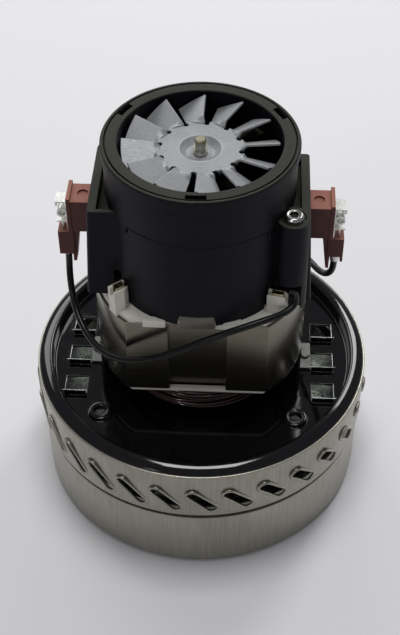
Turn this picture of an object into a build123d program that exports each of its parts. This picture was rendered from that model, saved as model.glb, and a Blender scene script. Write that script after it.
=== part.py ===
from build123d import *
import math
import os

# Two-stage by-pass suction motor: a turbine case below, a series motor above it.
# The origin is the centre of the case's flat underside, +Z is the shaft's way up,
# and the brushes lie along X. All lengths are millimetres.

# Turbine case, pressed steel
sheet = 0.8
shell_radius = 71.15
shell_height = 38.0
shell_corner = 3.0
inlet_radius = 19.0
inlet_lip = 5.2
inlet_corner = 1.6
ring_sheet = 0.75
ring_height = 25.25
ring_overlap = 2.9
louvre_count = 30
louvre_length = 16.4
louvre_slit = 4.9
louvre_slant_deg = 47.0
louvre_level_share = 0.368
louvre_start_deg = -3.1
hood_radius = 1.0
hood_shift = 2.75
hood_sink_deg = 4.0

# Painted plate that closes the case and carries the motor
plate_sheet = 1.0
plate_recess = 3.85
plate_rim_rise = 2.45
plate_rim_width = 5.15
plate_rim_skirt = 4.2
plate_rim_round = 1.9
plate_bend = 0.8
well_radius = 38.5
well_slope = 1.2
well_depth = 4.0
window_length = 9.6
window_width = 10.1
window_inner_x = 48.4
window_pitch = 18.0
window_middle_y = -2.4
window_flap = 2.6
collar_hole_radius = 2.6
collar_radius = 4.8
collar_rise = 1.5
collar_edge_gap = 11.4
collar_circle_radius = shell_radius - plate_rim_width - collar_edge_gap
collar_spread_deg = 49.0

# Two turbine stages
impeller_case_gap = 8.35
impeller_radius = shell_radius - sheet - impeller_case_gap
impeller_sheet = 0.8
impeller_height = 11.0
impeller_blades = 7
impeller_blade_sweep_deg = 55.0
impeller_eye_radius = 21.6
first_impeller_z = 6.0
stage_gap = 2.6
guide_sheet = 1.2
guide_case_gap = 5.85
guide_radius = shell_radius - sheet - guide_case_gap
guide_vane_height = 8.0
guide_vane_sheet = 1.0
guide_vanes = 9
guide_vane_sweep_deg = 48.0
second_gap = 2.2
hub_washer_radius = 15.0
hub_washer_sheet = 1.2
nut_flats = 13.0
nut_height = 5.0

# Shaft and its two ball bearings, 8 by 22 by 7
shaft_radius = 4.0
thread_radius = 2.15
shaft_below_nut = 1.2
shaft_chamfer = 0.5
bearing_radius = 11.0
bearing_width = 7.0
bearing_wall = 1.95
ball_radius = 1.95
ball_clearance = 0.1
ball_count = 7
cage_wall = 0.75
cage_width = 2.6
cup_wall = 1.2
cup_flange_radius = 18.5
cup_flange_sheet = 1.2
cup_lip = 2.0

# Stator, laminations 88 across with flats front and rear
stack_stand = 14.0
stack_height = 38.5
stack_radius = 44.0
stack_flat_y = 33.5
stack_recess_width = 23.6
stack_recess_depth = 3.2
bore_radius = 21.9
shoe_radius = 24.9
shoe_spread_deg = 61.0
pole_width = 24.6
cavity_radius = 36.6
cavity_flat_y = 28.0

# Field coils, wound in two halves
coil_inner_radius = 26.0
coil_outer_radius = 32.3
coil_side_deg = 33.0
coil_end_deg = 51.0
coil_end_reach = 11.0
coil_end_height = 8.6
wire_radius = 0.5
wire_pitch = 1.45
wire_loops = 6
wire_corner = 3.0
wire_clearance = 0.4

# Armature
air_gap = 0.6
armature_slots = 12
armature_slot_width = 3.4
armature_slot_depth = 8.5
armature_core_radius = 8.6
armature_end_height = 11.5
armature_end_radius = 18.4
commutator_radius = 13.0
commutator_length = 18.0
commutator_riser = 1.6
commutator_riser_width = 2.2
commutator_bars = 24
commutator_slit = 0.5
commutator_wall = 3.2
commutator_z_above_stack = 21.0

# Moulded motor housing
housing_height = 63.3
barrel_inner_radius = 34.7
barrel_wall = 2.0
barrel_step = 0.5
barrel_lower_radius = barrel_inner_radius + barrel_wall
barrel_radius = barrel_lower_radius + barrel_step
barrel_step_z_share = 0.65
rim_lip = 0.75
rim_radius = barrel_radius + rim_lip
rim_height = 3.4
rim_groove_inset = 2.05
rim_groove_radius = rim_radius - rim_groove_inset
rim_groove_width = 0.7
rim_groove_depth = 1.6
mouth_lip = 3.3
mouth_radius = barrel_inner_radius - mouth_lip
mouth_depth = 9.4
rim_slot_inset = 3.3
rim_slot_radius = rim_radius - rim_slot_inset
rim_slot_width = 2.3
rim_slot_length = 7.7
rim_slot_depth = 3.0
rim_slots = 3
spider_arms = 4
spider_arm_width = 5.0
spider_height = 7.0
spider_hub_wall = 2.4
bearing_lip = 1.2
washer_height = 0.8
box_reach = 8.1
box_lean = 2.4
box_x = barrel_lower_radius + box_reach
box_top_x = box_x - box_lean
box_half_y = 19.6
box_height = 42.5
box_outer_wall = 3.4
box_wall = 1.6
box_pocket_depth = 4.6
box_round = 1.3
notch_width = 14.8
notch_height = 4.9
column_x = 36.0
column_y = -19.7
column_radius = 6.4
column_foot_radius = 6.9
seat_radius = 4.9
seat_depth = 0.6
post_room_inner_x = 26.2
post_room_outer_x = 40.4
post_room_front_y = 32.6
post_room_back_y = 23.1
post_room_height = 12.8
slot_x = 33.4
slot_width = 3.4
slot_low = 6.6
slot_height = 6.4
slot_depth = 2.4

# Housing screws, M4 flange heads
screw_radius = 2.0
screw_clearance = 0.25
screw_head_radius = 3.75
screw_flange_height = 1.5
screw_dome_radius = 3.1
screw_dome_height = 0.8
screw_socket_radius = 1.9
screw_socket_depth = 1.3
bracket_sheet = 1.2
bracket_inner_radius = 35.0
bracket_inner_x = 32.4
bracket_half_y = 24.5
bracket_leg_half_y = 7.5
bracket_leg_inset = 1.6
bracket_leg_x = stack_radius - bracket_leg_inset
bracket_foot = 4.5
rivet_radius = 1.3
rivet_head_radius = 2.1
rivet_head_height = 0.9

# Moulded insulators at the stack's ends, with the terminal posts
insulator_sheet = 2.2
insulator_radius = 42.9
insulator_flat_y = 33.2
insulator_inner_radius = 34.9
lower_insulator_sheet = 1.5
post_plan_shares = ((-0.5, -0.38), (0.1, -0.5), (0.5, -0.22), (0.5, 0.5), (-0.5, 0.5))
left_post_x = -30.9
left_post_y = -26.5
left_post_width = 6.8
left_post_depth = 5.6
left_post_height = 10.4
left_post_turn_deg = 38.0
right_post_x = 31.3
right_post_y = -26.0
right_post_width = 7.9
right_post_depth = 5.0
right_post_height = 8.8
right_post_turn_deg = -10.0
post_groove = 2.8
post_groove_depth = 3.6
terminal_sheet = 0.6
terminal_length_share = 0.6
terminal_rise = 1.1
comb_half_width = 6.9
comb_outer_y = 36.0
comb_inner_y = 34.4
comb_rise = 3.7
bridge_half_width = 11.6
bridge_inner_y = 31.0

# Brush gear, one on each side
brush_z_above_stack = 30.2
holder_width = 11.6
holder_height = 15.0
holder_inner_x = 24.0
holder_reach = 6.2
holder_outer_x = box_x + holder_reach
flange_sheet = 1.5
flange_rise = 1.4
flange_width = 12.4
tube_wall = 0.6
tube_inner_x = 15.2
brush_width = 6.4
brush_height = 9.8
brush_length = 21.0
brush_gap = 0.08
brush_clearance = 0.15
spring_radius = 2.3
spring_wire_radius = 0.35
spring_turns = 7
shroud_length = 6.3
shroud_x = holder_outer_x + shroud_length
shroud_inner_x = holder_outer_x
shroud_half_y = 3.9
shroud_top_drop = 9.6
shroud_height = 11.8
shroud_wall = 1.0
leg_sheet = 2.5
leg_inner_x = holder_outer_x - leg_sheet
leg_drop = 18.2
leg_tip_share = 0.35
clip_half_y = 3.2
clip_sheet = 0.7
clip_top_drop = -5.3
clip_lip = 2.2
eyelet_radius = 2.1
eyelet_drop = 0.4
tab_drop = 4.4
strip_half_y = 1.7
dimple_radius = 2.2
dimple_depth = 0.8

# Leads from the brush gear to the coil posts
lead_radius = 1.4
crimp_radius = 1.9
crimp_length = 5.0
crimp_reach = 3.4
crimp_x = holder_outer_x + crimp_reach
crimp_top_drop = 18.0

# Cooling fan, stamped aluminium
fan_sheet = 1.1
fan_z_above_mouth = 4.6
fan_hub_radius = 16.4
fan_tip_gap = 1.2
fan_tip_radius = mouth_radius - fan_tip_gap
fan_blades = 12
fan_blade_root = 7.0
fan_blade_tip = 12.4
fan_pitch_deg = 30.5
fan_hole_radius = 1.3
fan_hole_circle = 15.7
fan_hole_deg = -6.4
fan_dish_radius = 7.8
fan_dish_floor_radius = 4.9
fan_dish_depth = 2.4
fan_bush_radius = 2.9
fan_bush_height = 1.6

# Common overrun for cuts, and the clearance between parts that turn and parts that don't
overrun = 1.0
turning_clearance = 0.3

# Levels above the underside, stacked from the sizes above
ring_bottom_z = shell_height - ring_overlap
ring_top_z = ring_bottom_z + ring_height
plate_z = ring_top_z - plate_recess
well_z = plate_z - well_depth
stack_z = plate_z + stack_stand
stack_top_z = stack_z + stack_height
housing_z = stack_top_z + insulator_sheet
rim_top_z = housing_z + housing_height
mouth_z = rim_top_z - mouth_depth
guide_z = first_impeller_z + impeller_height + stage_gap
stage_plate_z = guide_z + guide_sheet + guide_vane_height
second_impeller_z = stage_plate_z + sheet + second_gap
lower_bearing_z = well_z + cup_flange_sheet - bearing_width
upper_bearing_z = mouth_z - bearing_lip - washer_height - bearing_width
brush_z = stack_top_z + brush_z_above_stack
commutator_z = stack_top_z + commutator_z_above_stack
fan_z = mouth_z + fan_z_above_mouth
box_top_z = housing_z + box_height
ring_radius = shell_radius + ring_sheet
rotor_radius = bore_radius - air_gap
foot_x = bracket_leg_x + bracket_sheet
wire_path_radius = coil_outer_radius + wire_clearance + wire_radius
brush_inner_x = commutator_radius + brush_gap
brush_outer_x = brush_inner_x + brush_length
crimp_z = brush_z - crimp_top_drop
parts_folder = "parts"


def disc(radius, low, high):
    """A solid cylinder about Z between two levels."""
    return Pos(0, 0, low) * extrude(Circle(radius), high - low)


def tube(outer, inner, low, high):
    """A ring about Z between two levels."""
    return Pos(0, 0, low) * extrude(Circle(outer) - Circle(inner), high - low)


def block(x0, x1, y0, y1, z0, z1):
    """A box between two corners."""
    size = Box(x1 - x0, y1 - y0, z1 - z0, align=(Align.MIN, Align.MIN, Align.MIN))
    return Pos(x0, y0, z0) * size


def lathe(points, rounds=()):
    """Turn an outline of (radius, level) points about Z, with some corners rounded."""
    face = make_face(Polyline(*points, close=True))
    for index, radius in rounds:
        corner = Vector(*points[index])
        nearest = min(face.vertices(), key=lambda v: (Vector(v.X, v.Y) - corner).length)
        face = fillet(nearest, radius)
    return revolve(Plane.XZ * face, Axis.Z)


def turned(shape, degrees):
    """The shape turned about Z."""
    return Rot(0, 0, degrees) * shape


def ring_of(shape, count, start_deg=0):
    """Copies of a shape at equal steps about Z."""
    step = 360 / count
    return [turned(shape, start_deg + step * index) for index in range(count)]


def sector(outer, inner, half_deg, low, high, middle_deg=-90):
    """A piece of ring about Z, centred on one azimuth."""
    points = [(0, 0)]
    reach = outer / math.cos(math.radians(half_deg / 2)) * 2
    for share in (-1, -0.5, 0, 0.5, 1):
        angle = math.radians(middle_deg + half_deg * share)
        points.append((reach * math.cos(angle), reach * math.sin(angle)))
    wedge = make_face(Polyline(*points, close=True))
    flat = (Circle(outer) - Circle(inner)) & wedge
    return Pos(0, 0, low) * extrude(flat, high - low)


def flatted(radius, flat_y):
    """A circle with flats at front and rear."""
    return Circle(radius) & Rectangle(radius * 2, flat_y * 2)


# Turbine case

def inlet_shell():
    """The lower cup with the inlet's rolled eye."""
    inner = shell_radius - sheet
    eye = inlet_radius + sheet
    points = [
        (inlet_radius, inlet_lip),
        (inlet_radius, 0),
        (shell_radius, 0),
        (shell_radius, shell_height),
        (inner, shell_height),
        (inner, sheet),
        (eye, sheet),
        (eye, inlet_lip),
    ]
    rounds = ((1, inlet_corner), (2, shell_corner), (5, shell_corner - sheet), (6, inlet_corner - sheet))
    return lathe(points, rounds)


def louvre_plane():
    """The wall plane of one louvre, with its long way down to the right."""
    lean = math.radians(louvre_slant_deg)
    level = ring_bottom_z + ring_height * louvre_level_share
    return Plane(origin=(ring_radius, 0, level), x_dir=(0, math.cos(lean), -math.sin(lean)), z_dir=(1, 0, 0))


def louvre_slot():
    """The round-ended slot of one louvre."""
    slot = SlotCenterToCenter(louvre_length - louvre_slit, louvre_slit)
    return louvre_plane() * extrude(slot, hood_radius * 2, both=True)


def hood():
    """The pressed lip along the slot's upper edge; its lower end sinks into the wall."""
    length = louvre_length - louvre_slit / 3
    bar = Rot(0, 90, 0) * Cylinder(hood_radius, length)
    ends = [Pos(length / 2, 0, 0) * Sphere(hood_radius), Pos(-length / 2, 0, 0) * Sphere(hood_radius)]
    return louvre_plane() * Pos(0, hood_shift, 0) * Rot(0, hood_sink_deg, 0) * (bar + ends)


def exhaust_ring():
    """The upper ring with its leaning louvres, each a slot under a pressed lip."""
    body = tube(ring_radius, shell_radius, ring_bottom_z, ring_top_z)
    body += ring_of(hood(), louvre_count, louvre_start_deg)
    body -= disc(shell_radius, ring_bottom_z - overrun, ring_top_z + overrun)
    return body - ring_of(louvre_slot(), louvre_count, louvre_start_deg)


def window(y):
    """The cut for one window of the plate on the right."""
    depth = plate_sheet + overrun * 2
    low = plate_z - plate_sheet - overrun
    return block(window_inner_x, window_inner_x + window_length, y, y + window_width, low, low + depth)


def window_flap_up(y):
    """The tongue that stands up at the front edge of one window."""
    x0 = window_inner_x
    x1 = window_inner_x + window_length
    return block(x0, x1, y - plate_sheet, y, plate_z - plate_sheet, plate_z + window_flap)


def window_rows():
    """Front edges of the windows along Y."""
    middle = window_middle_y - window_width / 2
    return [middle + window_pitch * step for step in (-1, 0, 1)]


def collar_places():
    """Azimuths of the four raised holes."""
    front = (-90 - collar_spread_deg, -90 + collar_spread_deg)
    rear = (90 - collar_spread_deg, 90 + collar_spread_deg)
    return front + rear


def base_plate():
    """The painted plate: rolled rim, recessed floor, central well, windows and raised holes."""
    floor = well_z
    rim = ring_top_z + plate_rim_rise
    inner = shell_radius - plate_rim_width
    toe = plate_rim_round * 1.3
    hole = bearing_radius + cup_wall
    t = plate_sheet
    points = [
        (hole, floor - t),
        (hole, floor),
        (well_radius - well_slope, floor),
        (well_radius, plate_z),
        (inner - toe, plate_z),
        (inner, rim),
        (shell_radius, rim),
        (shell_radius, rim - plate_rim_skirt),
        (shell_radius - t, rim - plate_rim_skirt),
        (shell_radius - t, rim - t),
        (inner + t, rim - t),
        (inner - toe + t, plate_z - t),
        (well_radius + t, plate_z - t),
        (well_radius - well_slope + t, floor - t),
    ]
    bend = plate_bend
    rounds = (
        (5, plate_rim_round),
        (6, plate_rim_round),
        (9, plate_rim_round - t),
        (10, plate_rim_round - t),
        (3, bend),
        (4, bend),
    )
    plate = lathe(points, rounds)
    for y in window_rows():
        for side in (0, 180):
            cut = window(y)
            flap = window_flap_up(y)
            if side:
                cut = mirror(cut, Plane.YZ)
                flap = mirror(flap, Plane.YZ)
            plate = plate - cut + flap
    for azimuth in collar_places():
        place = Rot(0, 0, azimuth) * Pos(collar_circle_radius, 0, 0)
        collar = place * tube(collar_radius, collar_hole_radius, plate_z - t / 2, plate_z + collar_rise)
        hole_cut = place * disc(collar_hole_radius, plate_z - t - overrun, plate_z + collar_rise + overrun)
        plate = plate + collar - hole_cut
    for side in (-1, 1):
        hole_cut = Pos(side * (foot_x + bracket_foot / 2), 0, 0)
        plate -= hole_cut * disc(rivet_radius, plate_z - t - overrun, plate_z + overrun)
    return plate


def bearing_cup():
    """The pressed cup that holds the lower bearing in the plate."""
    top = well_z + cup_flange_sheet
    low = lower_bearing_z
    points = [
        (bearing_radius, top),
        (bearing_radius, low),
        (bearing_radius - cup_lip, low),
        (bearing_radius - cup_lip, low - cup_wall),
        (bearing_radius + cup_wall, low - cup_wall),
        (bearing_radius + cup_wall, well_z),
        (cup_flange_radius, well_z),
        (cup_flange_radius, top),
    ]
    return lathe(points)


def stage_plate():
    """The steel disc between the stages, with the second eye."""
    inner = shell_radius - sheet
    return tube(inner, impeller_eye_radius, stage_plate_z, stage_plate_z + sheet)


def curved_wall(inner, outer, sweep_deg, wall, low, high):
    """One upright wall that curves from an inner to an outer radius."""
    middle = (inner + outer) / 2
    half = math.radians(sweep_deg / 2)
    full = math.radians(sweep_deg)
    start = (inner, 0)
    through = (middle * math.cos(half * 0.7), middle * math.sin(half * 0.7))
    end = (outer * math.cos(full), outer * math.sin(full))
    line = ThreePointArc(start, through, end)
    return Pos(0, 0, low) * extrude(trace(line, wall), high - low)


def return_guide():
    """The fixed guide that turns the first stage's air back to the second eye."""
    hub = hub_washer_radius + turning_clearance * 3
    plate = tube(guide_radius, hub, guide_z, guide_z + guide_sheet)
    low = guide_z + guide_sheet / 2
    inner = impeller_eye_radius + guide_vane_sheet * 2
    outer = guide_radius - guide_vane_sheet
    vane = curved_wall(inner, outer, guide_vane_sweep_deg, guide_vane_sheet, low, stage_plate_z)
    return plate + ring_of(vane, guide_vanes)


def impeller(low):
    """A shrouded impeller: eye disc, back disc and backward-curved blades."""
    high = low + impeller_height
    t = impeller_sheet
    front = tube(impeller_radius, impeller_eye_radius, low, low + t)
    back = tube(impeller_radius, shaft_radius, high - t, high)
    inner = impeller_eye_radius + t * 2
    blade = curved_wall(inner, impeller_radius - t, -impeller_blade_sweep_deg, t, low + t / 2, high - t / 2)
    return front + back + ring_of(blade, impeller_blades)


# Rotor

def shaft():
    """The ground shaft with its threaded upper end."""
    low = first_impeller_z + impeller_height - impeller_sheet - hub_washer_sheet - nut_height
    low -= shaft_below_nut
    seat = fan_z - fan_sheet / 2 - fan_dish_depth
    top = rim_top_z - turning_clearance
    c = shaft_chamfer
    points = [
        (0, low),
        (shaft_radius - c, low),
        (shaft_radius, low + c),
        (shaft_radius, seat - c),
        (shaft_radius - c, seat),
        (thread_radius, seat),
        (thread_radius, top - c),
        (thread_radius - c, top),
        (0, top),
    ]
    return lathe(points)


def hub_washer(low):
    """A clamping washer beside an impeller."""
    return tube(hub_washer_radius, shaft_radius, low, low + hub_washer_sheet)


def impeller_washers():
    """The four clamping washers, above and below each impeller's back disc."""
    t = impeller_sheet
    w = hub_washer_sheet
    tops = [first_impeller_z + impeller_height, second_impeller_z + impeller_height]
    group = []
    for top in tops:
        group.append(hub_washer(top))
        group.append(hub_washer(top - t - w))
    return Compound(children=group)


def impeller_spacers():
    """The two sleeves that space the impellers and the bearing along the shaft."""
    first_top = first_impeller_z + impeller_height + hub_washer_sheet
    second_back = second_impeller_z + impeller_height - impeller_sheet - hub_washer_sheet
    second_top = second_impeller_z + impeller_height + hub_washer_sheet
    radius = shaft_radius + bearing_wall
    low = tube(radius, shaft_radius, first_top, second_back)
    high = tube(radius, shaft_radius, second_top, lower_bearing_z)
    return Compound(children=[low, high])


def impeller_nut():
    """The hexagon nut under the first impeller."""
    top = first_impeller_z + impeller_height - impeller_sheet - hub_washer_sheet
    hexagon = RegularPolygon(nut_flats / 2, 6, major_radius=False) - Circle(shaft_radius)
    return Pos(0, 0, top - nut_height) * extrude(hexagon, nut_height)


def ball_circle():
    """Radius of the circle through the balls' centres."""
    return (shaft_radius + bearing_radius) / 2


def race(outer, inner, low):
    """One bearing race with its ball groove."""
    body = tube(outer, inner, low, low + bearing_width)
    groove = Torus(ball_circle(), ball_radius + ball_clearance)
    return body - Pos(0, 0, low + bearing_width / 2) * groove


def inner_race(low):
    """The race that turns with the shaft."""
    return race(shaft_radius + bearing_wall, shaft_radius, low)


def outer_race(low):
    """The race that stays in its seat."""
    return race(bearing_radius, bearing_radius - bearing_wall, low)


def ball_set(low):
    """The balls and the cage that spaces them."""
    middle = low + bearing_width / 2
    half = cage_width / 2
    cage = tube(ball_circle() + cage_wall, ball_circle() - cage_wall, middle - half, middle + half)
    ball = Pos(ball_circle(), 0, middle) * Sphere(ball_radius)
    return cage + ring_of(ball, ball_count)


def armature_core():
    """The slotted laminations pressed on the shaft."""
    body = tube(rotor_radius, shaft_radius, stack_z, stack_top_z)
    mouth = rotor_radius - armature_slot_depth
    slot = block(mouth, rotor_radius + overrun, -armature_slot_width / 2, armature_slot_width / 2,
                 stack_z - overrun, stack_top_z + overrun)
    return body - ring_of(slot, armature_slots, 180 / armature_slots)


def armature_windings():
    """The wound copper: a bundle in every slot, joined by the end turns."""
    half = armature_slot_width / 2
    outer = rotor_radius - armature_slot_width / 2
    inner = rotor_radius - armature_slot_depth
    bar = block(inner, outer, -half, half, stack_z - overrun, stack_top_z + overrun)
    ends = []
    for low in (stack_z - armature_end_height, stack_top_z):
        ends.append(tube(armature_end_radius, armature_core_radius, low, low + armature_end_height))
    lower = fillet(ends[0].edges().sort_by(Axis.Z)[0:2], armature_end_height / 4)
    upper = fillet(ends[1].edges().sort_by(Axis.Z)[-2:], armature_end_height / 4)
    return lower + upper + ring_of(bar, armature_slots, 180 / armature_slots)


def armature_insulators():
    """Sleeves of insulation on the shaft under the end turns."""
    group = []
    for low in (stack_z - armature_end_height, stack_top_z):
        group.append(tube(armature_core_radius, shaft_radius, low, low + armature_end_height))
    return Compound(children=group)


def commutator_hub():
    """The moulded core of the commutator."""
    return tube(commutator_radius - commutator_wall, shaft_radius, commutator_z, commutator_z + commutator_length)


def commutator_segments():
    """The copper bars, each with its riser at the lower end."""
    inner = commutator_radius - commutator_wall
    top = commutator_z + commutator_length
    points = [
        (inner, commutator_z),
        (commutator_radius + commutator_riser, commutator_z),
        (commutator_radius + commutator_riser, commutator_z + commutator_riser_width),
        (commutator_radius, commutator_z + commutator_riser_width),
        (commutator_radius, top),
        (inner, top),
    ]
    body = lathe(points)
    cut = block(inner / 2, commutator_radius * 2, -commutator_slit / 2, commutator_slit / 2,
                commutator_z - overrun, top + overrun)
    return body - ring_of(cut, commutator_bars)


def cooling_fan():
    """The stamped fan: a dished hub and twelve blades turned out of its plane."""
    low = fan_z - fan_sheet / 2
    floor = low - fan_dish_depth
    hub = lathe((
        (thread_radius, floor),
        (fan_dish_floor_radius, floor),
        (fan_dish_radius, low),
        (fan_hub_radius, low),
        (fan_hub_radius, low + fan_sheet),
        (fan_dish_radius, low + fan_sheet),
        (fan_dish_floor_radius, floor + fan_sheet),
        (thread_radius, floor + fan_sheet),
    ))
    hole = Pos(fan_hole_circle, 0, 0) * disc(fan_hole_radius, low - overrun, low + fan_sheet + overrun)
    root = fan_hub_radius - fan_sheet
    outline = make_face(Polyline(
        (root, -fan_blade_root / 2),
        (fan_tip_radius, -fan_blade_tip / 2),
        (fan_tip_radius, fan_blade_tip / 2),
        (root, fan_blade_root / 2),
        close=True,
    ))
    blade = extrude(outline, fan_sheet / 2, both=True)
    blade = Pos(0, 0, fan_z) * Rot(-fan_pitch_deg, 0, 0) * blade
    blade = blade & disc(fan_tip_radius, low - fan_blade_tip, low + fan_blade_tip)
    blade_start = fan_hole_deg + 180 / fan_blades
    fan = hub + ring_of(blade, fan_blades, blade_start)
    return fan - ring_of(hole, fan_blades, fan_hole_deg)


def fan_bush():
    """The collar that is staked on the fan's hub round the threaded end."""
    low = fan_z + fan_sheet / 2 - fan_dish_depth
    return tube(fan_bush_radius, thread_radius, low, low + fan_bush_height)


# Stator

def stator_core():
    """The field laminations: flatted ring, two poles and their shoes, bolt holes."""
    cavity = flatted(cavity_radius, cavity_flat_y)
    outline = flatted(stack_radius, stack_flat_y) - cavity
    pole = Rectangle(pole_width, cavity_flat_y * 2) & cavity
    core = extrude(outline + pole, stack_height)
    core = Pos(0, 0, stack_z) * core
    for middle in (-90, 90):
        core += sector(shoe_radius, bore_radius - overrun, shoe_spread_deg, stack_z, stack_top_z, middle)
    core -= disc(bore_radius, stack_z - overrun, stack_top_z + overrun)
    half = stack_recess_width / 2
    for side in (-1, 1):
        y0 = side * (stack_flat_y - stack_recess_depth)
        y1 = side * (stack_flat_y + overrun)
        core -= block(-half, half, min(y0, y1), max(y0, y1), stack_z - overrun, stack_top_z + overrun)
    return core - screw_holes(stack_z, stack_top_z)


def field_core():
    """The bundle of one field coil under its outer layer of turns."""
    low = stack_z - coil_end_reach
    high = stack_top_z + coil_end_reach
    full = sector(coil_outer_radius, coil_inner_radius, coil_end_deg, low, high)
    eye_low = low + coil_end_height
    eye_high = high - coil_end_height
    return full - sector(coil_outer_radius + overrun, coil_inner_radius - overrun, coil_side_deg, eye_low, eye_high)


def tangent_at(azimuth_deg):
    """Unit vector along a circle about Z, at an azimuth."""
    angle = math.radians(azimuth_deg)
    return Vector(-math.sin(angle), math.cos(angle), 0)


def on_circle(radius, azimuth_deg, z):
    """A point on a circle about Z."""
    angle = math.radians(azimuth_deg)
    return Vector(radius * math.cos(angle), radius * math.sin(angle), z)


def flat_turn(radius, start_deg, end_deg, z):
    """An arc about Z at one level."""
    middle = (start_deg + end_deg) / 2
    return ThreePointArc(on_circle(radius, start_deg, z), on_circle(radius, middle, z), on_circle(radius, end_deg, z))


def corner_turn(azimuth_deg, z, side, rise, leaving):
    """A quarter arc between an end turn and an upright run, in the plane that touches the circle."""
    base = on_circle(wire_path_radius, azimuth_deg, z)
    along = tangent_at(azimuth_deg) * (side * wire_corner)
    up = Vector(0, 0, rise * wire_corner)
    far = base + along + up
    centre = base + up
    quarter = math.radians(45)
    mid = centre + along * math.sin(quarter) - up * math.cos(quarter)
    if leaving:
        return ThreePointArc(base, mid, far)
    return ThreePointArc(far, mid, base)


def field_turns():
    """The outer layer of one field coil, a single wire wound inwards loop by loop."""
    step_deg = math.degrees(wire_pitch / wire_path_radius)
    corner_deg = math.degrees(wire_corner / wire_path_radius)
    first_deg = coil_end_deg - corner_deg
    low = stack_z - coil_end_reach - wire_radius
    high = stack_top_z + coil_end_reach + wire_radius
    edges = []
    start = on_circle(wire_path_radius, -90 - first_deg, low) - tangent_at(-90 - first_deg) * wire_corner
    rise = Vector(0, 0, wire_corner)
    begin = start + rise + Vector(0, 0, wire_radius * 2)
    edges.append(Line(begin, start + rise))
    edges.append(corner_turn(-90 - first_deg, low, -1, 1, False))
    for loop in range(wire_loops):
        half_deg = first_deg - step_deg * loop
        next_deg = half_deg - step_deg
        z0 = low + wire_pitch * loop
        z1 = high - wire_pitch * loop
        edges.append(flat_turn(wire_path_radius, -90 - half_deg, -90 + half_deg, z0))
        edges.append(corner_turn(-90 + half_deg, z0, 1, 1, True))
        foot = on_circle(wire_path_radius, -90 + half_deg, z0 + wire_corner)
        foot += tangent_at(-90 + half_deg) * wire_corner
        head = Vector(foot.X, foot.Y, z1 - wire_corner)
        edges.append(Line(foot, head))
        if loop == wire_loops - 1:
            break
        edges.append(corner_turn(-90 + half_deg, z1, 1, -1, False))
        edges.append(flat_turn(wire_path_radius, -90 + half_deg, -90 - next_deg, z1))
        edges.append(corner_turn(-90 - next_deg, z1, -1, -1, True))
        top = on_circle(wire_path_radius, -90 - next_deg, z1 - wire_corner)
        top -= tangent_at(-90 - next_deg) * wire_corner
        bottom = Vector(top.X, top.Y, z0 + wire_pitch + wire_corner)
        edges.append(Line(top, bottom))
        edges.append(corner_turn(-90 - next_deg, z0 + wire_pitch, -1, 1, False))
    path = Wire([edge.edge() for edge in edges])
    print("field turns: wire length", round(path.length, 1), "gap between turns", round(wire_pitch - wire_radius * 2, 2))
    section = Plane(origin=begin, z_dir=(0, 0, -1)) * Circle(wire_radius)
    return sweep(section, path=path)


def outline_insulator(low, high):
    """A moulded end plate that follows the laminations, bridged at front and rear."""
    plate = flatted(insulator_radius, insulator_flat_y) - Circle(insulator_inner_radius)
    bar = Rectangle(bridge_half_width * 2, insulator_flat_y * 2) - Rectangle(bridge_half_width * 3, bridge_inner_y * 2)
    return Pos(0, 0, low) * extrude(plate + bar, high - low)


def post(x, y, width, depth, height, turn_deg):
    """One terminal post with the groove along its top."""
    plan = [(width * across, depth * back) for across, back in post_plan_shares]
    body = extrude(make_face(Polyline(*plan, close=True)), insulator_sheet + height)
    half = post_groove / 2
    top = insulator_sheet + height
    body -= block(-width, width, -half, half, top - post_groove_depth, top + overrun)
    return Pos(x, y, stack_top_z) * Rot(0, 0, turn_deg) * body


def terminal(x, y, width, depth, height, turn_deg):
    """The brass clip that stands in one post's groove."""
    half = post_groove / 2
    reach = width * terminal_length_share / 2
    wall = terminal_sheet
    low = height - post_groove_depth
    high = height + terminal_rise
    clip = block(-reach, reach, -half, half, low, low + wall)
    clip += block(-reach, reach, -half, -half + wall, low, high)
    clip += block(-reach, reach, half - wall, half, low, high)
    return Pos(x, y, housing_z) * Rot(0, 0, turn_deg) * clip


def post_sizes():
    """Place, width, depth, height and turn of the two front posts."""
    left = (left_post_x, left_post_y, left_post_width, left_post_depth, left_post_height, left_post_turn_deg)
    right = (right_post_x, right_post_y, right_post_width, right_post_depth, right_post_height, right_post_turn_deg)
    return (left, right)


def comb():
    """The tab that stands in the housing's front notch."""
    top = housing_z + comb_rise
    low = housing_z - insulator_sheet / 2
    half = comb_half_width
    tab = block(-half, half, -comb_outer_y, -comb_inner_y, low, top)
    tab += block(-half, half, -comb_outer_y, -bridge_inner_y, low, housing_z)
    return tab


def screw_holes(low, high):
    """The two passages for the housing screws."""
    hole = disc(screw_radius + screw_clearance, low - overrun, high + overrun)
    return [Pos(column_x, column_y, 0) * hole, Pos(-column_x, -column_y, 0) * hole]


def upper_insulator():
    """The white end plate with its posts and combs."""
    plate = outline_insulator(stack_top_z, housing_z)
    for side in (0, 180):
        for sizes in post_sizes():
            plate += turned(post(*sizes), side)
        plate += turned(comb(), side)
    return plate - screw_holes(stack_top_z, housing_z)


def lower_insulator():
    """The plain end plate below, cut back for the brackets."""
    low = stack_z - lower_insulator_sheet
    plate = outline_insulator(low, stack_z)
    edge = bracket_inner_x - turning_clearance
    half = bracket_half_y + turning_clearance
    cut = block(edge, stack_radius, -half, half, low - overrun, stack_z + overrun)
    return plate - cut - turned(cut, 180)


def coil_terminals():
    """The brass clips of all four posts."""
    group = []
    for side in (0, 180):
        for sizes in post_sizes():
            group.append(turned(terminal(*sizes), side))
    return Compound(children=group)


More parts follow.
